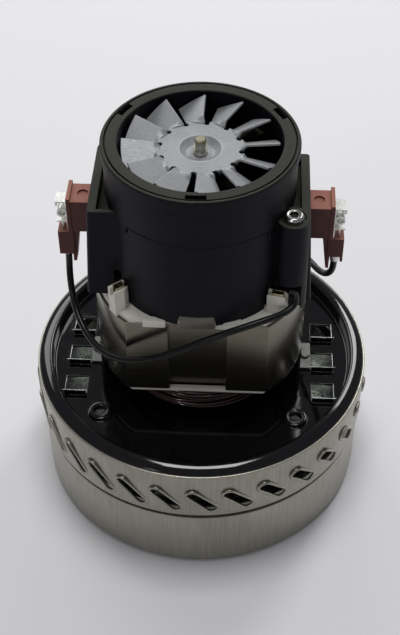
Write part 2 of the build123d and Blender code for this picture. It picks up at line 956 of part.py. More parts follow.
def stator_brackets():
    """Two pressed brackets that carry the stack on the plate."""
    low = stack_z - bracket_sheet
    ring = flatted(stack_radius - turning_clearance, bracket_half_y) - Circle(bracket_inner_radius)
    top = Pos(0, 0, low) * extrude(ring, bracket_sheet)
    half = bracket_leg_half_y
    group = []
    for side in (0, 180):
        piece = top & block(bracket_inner_x, stack_radius, -stack_radius, stack_radius, low, stack_z)
        piece += block(bracket_leg_x, foot_x, -half, half, plate_z, stack_z)
        piece += block(bracket_leg_x, foot_x + bracket_foot, -half, half, plate_z, plate_z + bracket_sheet)
        piece -= Pos(column_x, column_y, 0) * disc(screw_radius, low - overrun, stack_z + overrun)
        rivet = Pos(foot_x + bracket_foot / 2, 0, 0)
        piece -= rivet * disc(rivet_radius, plate_z - overrun, plate_z + bracket_sheet + overrun)
        group.append(turned(piece, side))
    return Compound(children=group)


def bracket_rivets():
    """The rivets through the brackets' feet."""
    low = plate_z - plate_sheet
    top = plate_z + bracket_sheet
    head = rivet_head_height
    points = [
        (0, low - head),
        (rivet_head_radius, low - head),
        (rivet_head_radius, low),
        (rivet_radius, low),
        (rivet_radius, top),
        (rivet_head_radius, top),
        (rivet_head_radius - head / 2, top + head),
        (0, top + head),
    ]
    rivet = Pos(foot_x + bracket_foot / 2, 0, 0) * lathe(points)
    return Compound(children=[rivet, turned(rivet, 180)])


# Motor housing

def side_box():
    """The box on the right, round the brush holder: a shallow pocket above, hollow below."""
    low = housing_z
    inner_x = barrel_lower_radius / 2
    side = make_face(Polyline((inner_x, low), (box_x, low), (box_top_x, box_top_z), (inner_x, box_top_z), close=True))
    body = extrude(Plane.XZ * side, box_half_y, both=True)
    corners = [edge for edge in body.edges() if edge.center().X > box_top_x and abs(edge.center().Y) > box_half_y / 2]
    body = fillet(corners, box_round)
    outer_x = box_top_x - box_outer_wall
    half_y = box_half_y - box_wall
    floor = box_top_z - box_pocket_depth
    pocket = block(inner_x, outer_x, -half_y, half_y, floor, box_top_z + overrun)
    room = block(inner_x, outer_x, -half_y, half_y, low - overrun, floor - box_wall)
    return body - pocket - room


def holder_window():
    """The passage for a brush holder through the barrel and the box."""
    half = holder_width / 2
    tall = holder_height / 2
    return block(commutator_radius * 2, box_x + overrun, -half, half, brush_z - tall, brush_z + tall)


def rim_slot():
    """One arc-shaped slot in the rim's top face."""
    half_deg = math.degrees(rim_slot_length / rim_slot_radius) / 2
    outer = rim_slot_radius + rim_slot_width / 2
    inner = rim_slot_radius - rim_slot_width / 2
    return sector(outer, inner, half_deg, rim_top_z - rim_slot_depth, rim_top_z + overrun)


def motor_housing():
    """The moulded barrel: skirt, side boxes, screw columns, spider and rim."""
    step_z = housing_z + housing_height * barrel_step_z_share
    points = [
        (barrel_inner_radius, housing_z),
        (barrel_lower_radius, housing_z),
        (barrel_lower_radius, step_z),
        (barrel_radius, step_z),
        (barrel_radius, rim_top_z - rim_height),
        (rim_radius, rim_top_z - rim_height),
        (rim_radius, rim_top_z),
        (mouth_radius, rim_top_z),
        (mouth_radius, mouth_z),
        (barrel_inner_radius, mouth_z - (barrel_inner_radius - mouth_radius)),
    ]
    barrel = lathe(points, ((6, rim_groove_width), (7, rim_groove_width)))
    boxes = side_box()
    hollow = disc(barrel_inner_radius, housing_z - overrun, upper_bearing_z)
    boxes -= disc(barrel_lower_radius, housing_z - overrun, rim_top_z + overrun)
    columns = Pos(column_x, column_y, 0) * lathe((
        (0, housing_z),
        (column_foot_radius, housing_z),
        (column_radius, box_top_z),
        (0, box_top_z),
    ))
    columns -= disc(barrel_lower_radius, housing_z - overrun, rim_top_z + overrun)
    body = barrel
    for side in (0, 180):
        body += turned(boxes, side)
        body += turned(columns, side)
    body -= hollow
    hub_radius = bearing_radius + spider_hub_wall
    body += tube(hub_radius, bearing_radius, upper_bearing_z, mouth_z)
    body += tube(hub_radius, bearing_radius - bearing_lip, mouth_z - bearing_lip, mouth_z)
    reach = barrel_inner_radius + box_wall / 2
    arm = block(bearing_radius + spider_hub_wall / 2, reach, -spider_arm_width / 2, spider_arm_width / 2,
                upper_bearing_z, upper_bearing_z + spider_height)
    body += ring_of(arm, spider_arms, 180 / spider_arms)
    groove_outer = rim_groove_radius + rim_groove_width
    body -= tube(groove_outer, rim_groove_radius, rim_top_z - rim_groove_depth, rim_top_z + overrun)
    body -= ring_of(rim_slot(), rim_slots)
    hole = disc(screw_radius + screw_clearance, housing_z - overrun, box_top_z + overrun)
    seat = disc(seat_radius, box_top_z - seat_depth, box_top_z + overrun)
    half = notch_width / 2
    notch = block(-half, half, -rim_radius - overrun, -barrel_inner_radius + overrun * 2,
                  housing_z - overrun, housing_z + notch_height)
    for side in (0, 180):
        body -= turned(Pos(column_x, column_y, 0) * hole, side)
        body -= turned(Pos(column_x, column_y, 0) * seat, side)
        body -= turned(holder_window(), side)
        body -= turned(notch, side)
        body -= turned(post_cuts(), side)
    return body


def post_cuts():
    """Room for the right post and its lead under the column, and the slot over the left post."""
    room = block(post_room_inner_x, post_room_outer_x, -post_room_front_y, -post_room_back_y,
                 housing_z - overrun, housing_z + post_room_height)
    low = housing_z + slot_low
    slot = block(-slot_x, -slot_x + slot_width, -box_half_y - overrun, -box_half_y + slot_depth, low, low + slot_height)
    return Compound(children=[room, slot])


def housing_screw():
    """A long flange-head screw from the housing to the bracket."""
    top = box_top_z - seat_depth
    low = stack_z - bracket_sheet
    points = [
        (0, low),
        (screw_radius, low),
        (screw_radius, top),
        (screw_head_radius, top),
        (screw_head_radius, top + screw_flange_height / 2),
        (screw_dome_radius, top + screw_flange_height),
        (screw_dome_radius, top + screw_flange_height + screw_dome_height),
        (0, top + screw_flange_height + screw_dome_height),
    ]
    screw = lathe(points, ((6, screw_flange_height / 2),))
    head_top = top + screw_flange_height + screw_dome_height
    socket = extrude(RegularPolygon(screw_socket_radius, 6), screw_socket_depth + overrun)
    screw -= Pos(0, 0, head_top - screw_socket_depth) * socket
    return Pos(column_x, column_y, 0) * screw


def housing_screws():
    """Both housing screws."""
    screw = housing_screw()
    return Compound(children=[screw, turned(screw, 180)])


def upper_outer_race():
    """The upper bearing's fixed race."""
    return outer_race(upper_bearing_z)


def wave_washer():
    """The spring washer above the upper bearing's fixed race."""
    low = upper_bearing_z + bearing_width
    return tube(bearing_radius - ball_clearance, bearing_radius - bearing_wall, low, low + washer_height)


# Brush gear, drawn on the right and turned to the left

def brush_holder():
    """The phenolic holder with its end flange, terminal shroud and leg."""
    half = holder_width / 2
    tall = holder_height / 2
    body = block(holder_inner_x, holder_outer_x, -half, half, brush_z - tall, brush_z + tall)
    plate_half = flange_width / 2
    body += block(holder_outer_x, holder_outer_x + flange_sheet, -plate_half, plate_half,
                  brush_z - tall, brush_z + tall + flange_rise)
    top = brush_z - shroud_top_drop
    low = top - shroud_height
    body += block(shroud_inner_x, shroud_x, -shroud_half_y, shroud_half_y, low, top)
    body += block(shroud_inner_x, holder_outer_x + flange_sheet, -shroud_half_y, shroud_half_y, top, brush_z - tall)
    wall = shroud_wall
    inside = block(shroud_inner_x + wall, shroud_x - wall, -shroud_half_y + wall, shroud_half_y - wall,
                   low - overrun, top - wall)
    slot = block(shroud_inner_x + wall, shroud_x - wall, -shroud_half_y - overrun, 0, low - overrun, low + wall * 2.5)
    leg_top = brush_z - tall
    leg_outer = shroud_inner_x + wall
    leg_low = leg_top - leg_drop
    tip = (leg_outer - leg_inner_x) * leg_tip_share
    leg = make_face(Polyline(
        (leg_inner_x, leg_top),
        (leg_outer, leg_top),
        (leg_outer, leg_low),
        (leg_outer - tip, leg_low),
        close=True,
    ))
    leg = extrude(Plane.XZ * leg, shroud_half_y * 0.8, both=True)
    body = body + leg - inside - slot
    bore_half = brush_width / 2 + brush_clearance + tube_wall
    bore_tall = brush_height / 2 + brush_clearance + tube_wall
    bore = block(holder_inner_x - overrun, holder_outer_x, -bore_half, bore_half, brush_z - bore_tall, brush_z + bore_tall)
    body -= bore
    dimple_x = (box_x + holder_outer_x) / 2 - flange_sheet
    dimple = Pos(dimple_x, 0, 0) * disc(dimple_radius, brush_z + tall - dimple_depth, brush_z + tall + overrun)
    return body - dimple


def brush_tube():
    """The brass tube that guides the brush."""
    half = brush_width / 2 + brush_clearance
    tall = brush_height / 2 + brush_clearance
    wall = tube_wall
    outer = block(tube_inner_x, holder_outer_x - wall, -half - wall, half + wall, brush_z - tall - wall, brush_z + tall + wall)
    return outer - block(tube_inner_x - overrun, holder_outer_x + overrun, -half, half, brush_z - tall, brush_z + tall)


def brush():
    """The carbon brush, hollowed to the commutator."""
    half = brush_width / 2
    tall = brush_height / 2
    body = block(brush_inner_x - overrun, brush_outer_x, -half, half, brush_z - tall, brush_z + tall)
    return body - disc(brush_inner_x, brush_z - tall - overrun, brush_z + tall + overrun)


def brush_end_plate():
    """The plate behind the spring, which closes the tube."""
    half = brush_width / 2 + brush_clearance
    tall = brush_height / 2 + brush_clearance
    wall = tube_wall
    return block(holder_outer_x - wall, holder_outer_x, -half - wall, half + wall, brush_z - tall - wall,
                 brush_z + tall + wall)


def spring_point(start_x, pitch, share):
    """A point of the spring's centre line, by turns from its start."""
    angle = 2 * math.pi * share
    y = spring_radius * math.cos(angle)
    z = spring_radius * math.sin(angle)
    return Vector(start_x + pitch * share, y, brush_z + z)


def spring_tangent(pitch, share):
    """The unit direction of the spring's centre line."""
    angle = 2 * math.pi * share
    run = 2 * math.pi * spring_radius
    return Vector(pitch, -run * math.sin(angle), run * math.cos(angle)).normalized()


def biarc(p1, t1, p2, t2):
    """Two arcs that join two points along their directions."""
    v = p2 - p1
    t = t1 + t2
    a = 2 * (t1.dot(t2) - 1)
    b = -2 * v.dot(t)
    c = v.dot(v)
    root = math.sqrt(b * b - 4 * a * c)
    d = (-b - root) / (2 * a)
    if d < 0:
        d = (-b + root) / (2 * a)
    middle = (p1 + t1 * d + p2 - t2 * d) * 0.5
    first = TangentArc(p1, middle, tangent=t1)
    second = TangentArc(p2, middle, tangent=t2 * -1)
    return [first.edge(), second.edge()]


def brush_spring():
    """The coil spring between the brush and the end plate."""
    x0 = brush_outer_x + spring_wire_radius * 2
    x1 = holder_outer_x - tube_wall - spring_wire_radius * 2
    pitch = (x1 - x0) / spring_turns
    edges = []
    for quarter in range(spring_turns * 4):
        s0 = quarter / 4
        s1 = (quarter + 1) / 4
        edges += biarc(
            spring_point(x0, pitch, s0), spring_tangent(pitch, s0),
            spring_point(x0, pitch, s1), spring_tangent(pitch, s1),
        )
    path = Wire(edges)
    section = Plane(origin=spring_point(x0, pitch, 0), z_dir=spring_tangent(pitch, 0)) * Circle(spring_wire_radius)
    return sweep(section, path=path)


def brush_terminal():
    """The tinned terminal: cap, lip, eyelet, tab and the strip down to the shroud."""
    x0 = holder_outer_x + flange_sheet
    x1 = shroud_x
    t = clip_sheet
    half = clip_half_y
    top = brush_z - clip_top_drop
    shroud_top = brush_z - shroud_top_drop
    clip = block(x0, x1, -half, half, top - t, top)
    clip += block(x1 - t, x1, -half, half, top - clip_lip, top)
    clip += block(x0, x0 + t, -half, half, shroud_top, top)
    curl = Pos((x0 + x1) / 2, 0, brush_z - eyelet_drop) * (Rot(90, 0, 0) * Cylinder(eyelet_radius, half * 2))
    curl -= Pos((x0 + x1) / 2, 0, brush_z - eyelet_drop) * (Rot(90, 0, 0) * Cylinder(eyelet_radius - t, half * 3))
    clip += curl
    clip += block(x0, (x0 + x1) / 2, -half, half, brush_z - eyelet_drop - t / 2, brush_z - eyelet_drop + t / 2) - \
        Pos((x0 + x1) / 2, 0, brush_z - eyelet_drop) * (Rot(90, 0, 0) * Cylinder(eyelet_radius - t, half * 3))
    tab_z = brush_z - tab_drop
    clip += block(x0, x1, -half, half, tab_z - t, tab_z)
    strip = strip_half_y
    middle = (x0 + x1) / 2
    clip += block(middle, middle + t, -strip, strip, shroud_top, tab_z)
    return clip


def lead_crimp():
    """The tinned crimp on the end of a lead, in the shroud."""
    top = crimp_z + crimp_length
    return Pos(crimp_x, 0, 0) * disc(crimp_radius, crimp_z, top)


# Leads, each a route of points chosen along the photographed line

front_route = (
    (-54.4, 0.0, 121.2),
    (-54.4, 0.0, 113.6),
    (-54.5, -2.8, 105.8),
    (-53.3, -8.0, 98.8),
    (-51.0, -14.2, 94.4),
    (-47.4, -21.0, 91.6),
    (-42.4, -28.4, 90.4),
    (-36.4, -34.2, 90.6),
    (-29.4, -38.2, 92.2),
    (-21.4, -40.4, 94.8),
    (-13.2, -41.2, 98.4),
    (-4.6, -40.9, 102.6),
    (4.4, -40.0, 107.4),
    (13.0, -38.9, 111.0),
    (21.2, -36.6, 112.8),
    (28.4, -33.4, 113.4),
    (34.8, -29.9, 113.6),
    (38.5, -26.3, 115.0),
    (38.5, -24.9, 118.6),
    (37.4, -25.1, 121.2),
    (35.2, -25.9, 122.0),
)

rear_route = (
    (54.4, 0.0, 121.2),
    (54.4, 0.0, 114.0),
    (54.2, 2.4, 107.0),
    (52.3, 6.2, 101.4),
    (49.6, 12.2, 97.6),
    (46.4, 20.2, 95.4),
    (41.4, 28.2, 94.6),
    (34.6, 34.6, 95.0),
    (26.6, 38.8, 96.4),
    (18.2, 40.8, 98.8),
    (9.6, 41.4, 101.8),
    (0.8, 40.8, 105.2),
    (-8.0, 39.8, 108.6),
    (-16.6, 38.2, 111.4),
    (-24.2, 35.4, 112.9),
    (-30.6, 32.2, 113.4),
    (-35.4, 29.3, 113.6),
    (-38.6, 26.3, 115.1),
    (-38.5, 24.9, 118.6),
    (-37.4, 25.1, 121.2),
    (-35.2, 25.9, 122.0),
)


def lead(route, name):
    """A round lead along straight runs and tangent arcs."""
    points = [Vector(*point) for point in route]
    radii = []
    for before, corner, after in zip(points, points[1:], points[2:]):
        back = corner - before
        ahead = after - corner
        half_turn = math.radians(back.get_angle(ahead)) / 2
        radii.append(0.45 * min(back.length, ahead.length) / math.tan(half_turn))
    path = FilletPolyline(*points, radius=radii)
    start = points[0]
    section = Plane(origin=start, z_dir=points[1] - start) * Circle(lead_radius)
    solid = sweep(section, path=path)
    expected = math.pi * lead_radius ** 2 * path.length
    print(name, "length", round(path.length, 1), "volume ratio", round(solid.volume / expected, 5))
    print(name, "radii", [round(radius, 1) for radius in radii])
    return solid


def save(node, shape):
    """Write one node."""
    export_step(shape, os.path.join(parts_folder, node + ".step"))


def main():
    """Build every node."""
    os.makedirs(parts_folder, exist_ok=True)
    save("inlet_shell", inlet_shell())
    save("exhaust_ring", exhaust_ring())
    save("base_plate", base_plate())
    save("bearing_cup", bearing_cup())
    save("stage_plate", stage_plate())
    save("return_guide", return_guide())
    save("first_impeller", impeller(first_impeller_z))
    save("second_impeller", impeller(second_impeller_z))
    save("impeller_washers", impeller_washers())
    save("impeller_spacers", impeller_spacers())
    save("impeller_nut", impeller_nut())
    save("shaft", shaft())
    save("lower_bearing_inner_race", inner_race(lower_bearing_z))
    save("lower_bearing_outer_race", outer_race(lower_bearing_z))
    save("lower_bearing_balls", ball_set(lower_bearing_z))
    save("upper_bearing_inner_race", inner_race(upper_bearing_z))
    save("upper_bearing_outer_race", upper_outer_race())
    save("upper_bearing_balls", ball_set(upper_bearing_z))
    save("wave_washer", wave_washer())
    save("armature_core", armature_core())
    save("armature_windings", armature_windings())
    save("armature_insulators", armature_insulators())
    save("commutator_hub", commutator_hub())
    save("commutator_segments", commutator_segments())
    save("cooling_fan", cooling_fan())
    save("fan_bush", fan_bush())
    save("stator_core", stator_core())
    turns = field_turns()
    for name, side in (("front", 0), ("rear", 180)):
        save("field_coil_core_" + name, turned(field_core(), side))
        save("field_coil_" + name, turned(turns, side))
    save("upper_insulator", upper_insulator())
    save("lower_insulator", lower_insulator())
    save("coil_terminals", coil_terminals())
    save("stator_brackets", stator_brackets())
    save("bracket_rivets", bracket_rivets())
    save("motor_housing", motor_housing())
    save("housing_screws", housing_screws())
    for name, side in (("right", 0), ("left", 180)):
        save("brush_holder_" + name, turned(brush_holder(), side))
        save("brush_tube_" + name, turned(brush_tube(), side))
        save("brush_" + name, turned(brush(), side))
        save("brush_spring_" + name, turned(brush_spring(), side))
        save("brush_end_plate_" + name, turned(brush_end_plate(), side))
        save("brush_terminal_" + name, turned(brush_terminal(), side))
        save("lead_crimp_" + name, turned(lead_crimp(), side))
    save("lead_front", lead(front_route, "lead_front"))
    save("lead_rear", lead(rear_route, "lead_rear"))


main()
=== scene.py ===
"""A two-stage by-pass suction motor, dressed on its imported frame.

The turbine case and its exhaust ring stand at the bottom, the painted plate
closes them, and the open motor with its moulded housing stands on the plate.
Sizes are in millimetres, and each shape turns them to metres as it is made.
"""

import logging
import math
from dataclasses import dataclass
from enum import Enum

import bmesh
import bpy
from mathutils import Matrix, Vector

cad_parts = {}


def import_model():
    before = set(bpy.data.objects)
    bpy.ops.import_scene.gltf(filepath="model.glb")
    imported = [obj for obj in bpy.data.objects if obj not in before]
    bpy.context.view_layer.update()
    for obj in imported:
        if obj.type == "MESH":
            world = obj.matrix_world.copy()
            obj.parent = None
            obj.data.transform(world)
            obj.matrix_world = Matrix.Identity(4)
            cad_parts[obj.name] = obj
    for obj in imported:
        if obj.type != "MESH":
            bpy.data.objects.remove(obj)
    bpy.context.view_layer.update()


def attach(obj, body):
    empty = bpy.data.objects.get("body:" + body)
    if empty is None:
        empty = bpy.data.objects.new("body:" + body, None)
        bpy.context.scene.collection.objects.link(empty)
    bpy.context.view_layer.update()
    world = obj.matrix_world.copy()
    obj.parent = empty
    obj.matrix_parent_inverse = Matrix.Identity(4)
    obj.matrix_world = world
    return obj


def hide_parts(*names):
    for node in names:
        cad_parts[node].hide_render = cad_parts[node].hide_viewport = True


LOG = logging.getLogger("suction_motor")
MM = 0.001
# The inputs of a Map Range node, in the order in which their values are written below.
RANGE = ("Value", "From Min", "From Max", "To Min", "To Max")
# The colour sockets of a Mix node: first colour, second colour and result.
MIX_FIRST, MIX_SECOND, MIX_RESULT = 6, 7, 2
# A wave texture runs through 20 radians a unit. Real sheet edges are too fine to show,
# so each is drawn about three times as thick as it is.
SHEET_BANDS = math.pi / 1.57 / 20.0
# Edges of a block that bend more than this are its corners.
CORNER_DEG = 60.0
# Radius of the hair-thin hole that keeps a turned shape off its own axis.
AXIS_GAP = 0.02

Flat = tuple[float, float]
Point = tuple[float, float, float]
Shape = bmesh.types.BMesh


def linear(hex_colour: str) -> tuple[float, float, float, float]:
    """Turn an sRGB hex colour into linear light.

    Args:
        hex_colour: Six hex digits, such as "1a2b3c".

    Returns:
        Red, green, blue and an alpha of one.
    """
    channels = []
    for start in (0, 2, 4):
        value = int(hex_colour[start:start + 2], 16) / 255
        channels.append(value / 12.92 if value <= 0.04045 else ((value + 0.055) / 1.055) ** 2.4)
    return (channels[0], channels[1], channels[2], 1.0)


def add_node(
    tree: bpy.types.NodeTree,
    kind: str,
    settings: dict[str, object] | None = None,
    inputs: dict[object, object] | None = None,
) -> bpy.types.Node:
    """Add one shader node with its settings, values and links.

    Args:
        tree: The material's node tree.
        kind: The node's type name.
        settings: Attributes of the node itself.
        inputs: Socket names or numbers, each with a value or a socket to link from.

    Returns:
        The new node.
    """
    node = tree.nodes.new(kind)
    for name, value in (settings or {}).items():
        setattr(node, name, value)
    for name, value in (inputs or {}).items():
        if isinstance(value, bpy.types.NodeSocket):
            tree.links.new(value, node.inputs[name])
        else:
            node.inputs[name].default_value = value
    return node


class Pattern(Enum):
    """How a surface's small pattern lies."""

    GRAIN = "even grain in all directions"
    STREAKS = "fine lines drawn out along one axis"
    SPANGLE = "crystal patches of hot-dip zinc"
    LAYERS = "edges of stacked sheets"


class Run(Enum):
    """How a wire runs between its points."""

    STRAIGHT = "POLY"
    SMOOTH = "NURBS"


@dataclass(frozen=True)
class Finish:
    """A real material and how its surface was made.

    Args:
        name: The material's name.
        colour: Main sRGB colour.
        shade: Second sRGB colour, which the pattern mixes in.
        metallic: One for bare metal, else zero.
        roughness: Lowest and highest roughness over the pattern.
        grain_mm: Size of the pattern's features.
        stretch: How far the pattern is drawn out along X, Y and Z.
        cloud_mm: Size of the slow colour variation.
        cloud: How much of the second colour the slow variation brings.
        bump_mm: Height of the pattern.
        edge_mm: Radius of the rounded edges.
        edge_wear_and_highlight: Colour painted on edges, partly wear and partly painted highlight.
        edge_wear_and_highlight_share: How strongly edges take that colour.
        coat: Strength of a clear gloss layer.
        specular: Strength of the plain reflection.
        painted_top_light: Colour painted on faces that look up, as painted top light.
        painted_top_light_share: How strongly those faces take it.
        pattern: How the pattern lies.
    """

    name: str
    colour: str
    shade: str
    metallic: float = 0.0
    roughness: Flat = (0.35, 0.5)
    grain_mm: float = 0.4
    stretch: Point = (1.0, 1.0, 1.0)
    cloud_mm: float = 14.0
    cloud: float = 0.35
    bump_mm: float = 0.02
    edge_mm: float = 0.25
    edge_wear_and_highlight: str = "ffffff"
    edge_wear_and_highlight_share: float = 0.0
    coat: float = 0.0
    specular: float = 0.5
    painted_top_light: str = "808078"
    painted_top_light_share: float = 0.0
    pattern: Pattern = Pattern.GRAIN

    def height(self, tree: bpy.types.NodeTree, place: bpy.types.NodeSocket) -> bpy.types.NodeSocket:
        """Make the fine pattern as a height from zero to one.

        Args:
            tree: The material's node tree.
            place: Object coordinates.

        Returns:
            The pattern's value socket.
        """
        scale = tuple(1.0 / amount for amount in self.stretch)
        mapped = add_node(
            tree, "ShaderNodeMapping", inputs={"Vector": place, "Scale": scale}).outputs["Vector"]
        per_metre = 1.0 / (self.grain_mm * MM)
        if self.pattern is Pattern.SPANGLE:
            cells = add_node(
                tree, "ShaderNodeTexVoronoi", {"feature": "F1"},
                {"Vector": mapped, "Scale": per_metre, "Randomness": 1.0})
            tone = add_node(tree, "ShaderNodeSeparateColor", inputs={"Color": cells.outputs["Color"]})
            return tone.outputs["Red"]
        if self.pattern is Pattern.LAYERS:
            lines = add_node(
                tree, "ShaderNodeTexWave", {"wave_type": "BANDS", "bands_direction": "Z"},
                {"Vector": mapped, "Scale": per_metre * SHEET_BANDS, "Distortion": 0.6, "Detail": 2.0,
                 "Detail Scale": 3.0})
            return lines.outputs["Fac"]
        noise = add_node(
            tree, "ShaderNodeTexNoise", {"noise_dimensions": "3D"},
            {"Vector": mapped, "Scale": per_metre, "Detail": 3.0, "Roughness": 0.6})
        return noise.outputs["Fac"]

    def material(self) -> bpy.types.Material:
        """Build the material's nodes.

        Returns:
            The finished material.
        """
        made = bpy.data.materials.new(self.name)
        made.use_nodes = True
        tree = made.node_tree
        tree.nodes.clear()
        place = add_node(tree, "ShaderNodeTexCoord").outputs["Object"]
        height = self.height(tree, place)
        cloud = add_node(
            tree, "ShaderNodeTexNoise",
            inputs={"Vector": place, "Scale": 1.0 / (self.cloud_mm * MM), "Detail": 4.0, "Roughness": 0.55},
        ).outputs["Fac"]
        cloud_part, fine_part, gloss = (
            add_node(tree, "ShaderNodeMapRange", inputs=dict(zip(RANGE, values))).outputs["Result"]
            for values in (
                (cloud, 0.35, 0.7, 0.0, self.cloud),
                (height, 0.3, 0.7, 0.0, 1.0 - self.cloud),
                (height, 0.25, 0.75, *self.roughness),
            ))
        share = add_node(
            tree, "ShaderNodeMath", {"operation": "ADD", "use_clamp": True}, {0: cloud_part, 1: fine_part})
        colour = add_node(
            tree, "ShaderNodeMix", {"data_type": "RGBA"},
            {"Factor": share.outputs["Value"], MIX_FIRST: linear(self.colour),
             MIX_SECOND: linear(self.shade)},
        ).outputs[MIX_RESULT]
        rounding = add_node(
            tree, "ShaderNodeBevel", {"samples": 6}, {"Radius": self.edge_mm * MM}).outputs["Normal"]
        flat = add_node(tree, "ShaderNodeNewGeometry").outputs["Normal"]
        likeness = add_node(
            tree, "ShaderNodeVectorMath", {"operation": "DOT_PRODUCT"}, {0: rounding, 1: flat})
        upright = add_node(tree, "ShaderNodeSeparateXYZ", inputs={"Vector": flat})
        for value, none_at, full_at, most, tone in (
            # Edges take a lighter colour, partly wear and partly painted highlight.
            (likeness.outputs["Value"], 0.99, 0.85, self.edge_wear_and_highlight_share, self.edge_wear_and_highlight),
            # Faces that look up take a lighter colour as painted top light.
            (upright.outputs["Z"], 0.55, 0.95, self.painted_top_light_share, self.painted_top_light),
        ):
            if most > 0.0:
                part = add_node(
                    tree, "ShaderNodeMapRange", inputs=dict(zip(RANGE, (value, none_at, full_at, 0.0, most))))
                colour = add_node(
                    tree, "ShaderNodeMix", {"data_type": "RGBA"},
                    {"Factor": part.outputs["Result"], MIX_FIRST: colour, MIX_SECOND: linear(tone)},
                ).outputs[MIX_RESULT]
        relief = add_node(
            tree, "ShaderNodeBump",
            inputs={"Height": height, "Distance": self.bump_mm * MM, "Strength": 1.0, "Normal": rounding},
        ).outputs["Normal"]
        shader = add_node(
            tree, "ShaderNodeBsdfPrincipled",
            inputs={"Base Color": colour, "Roughness": gloss, "Normal": relief, "Metallic": self.metallic,
                    "Coat Weight": self.coat, "Coat Roughness": 0.06, "Specular IOR Level": self.specular})
        add_node(tree, "ShaderNodeOutputMaterial", inputs={"Surface": shader.outputs["BSDF"]})
        return made


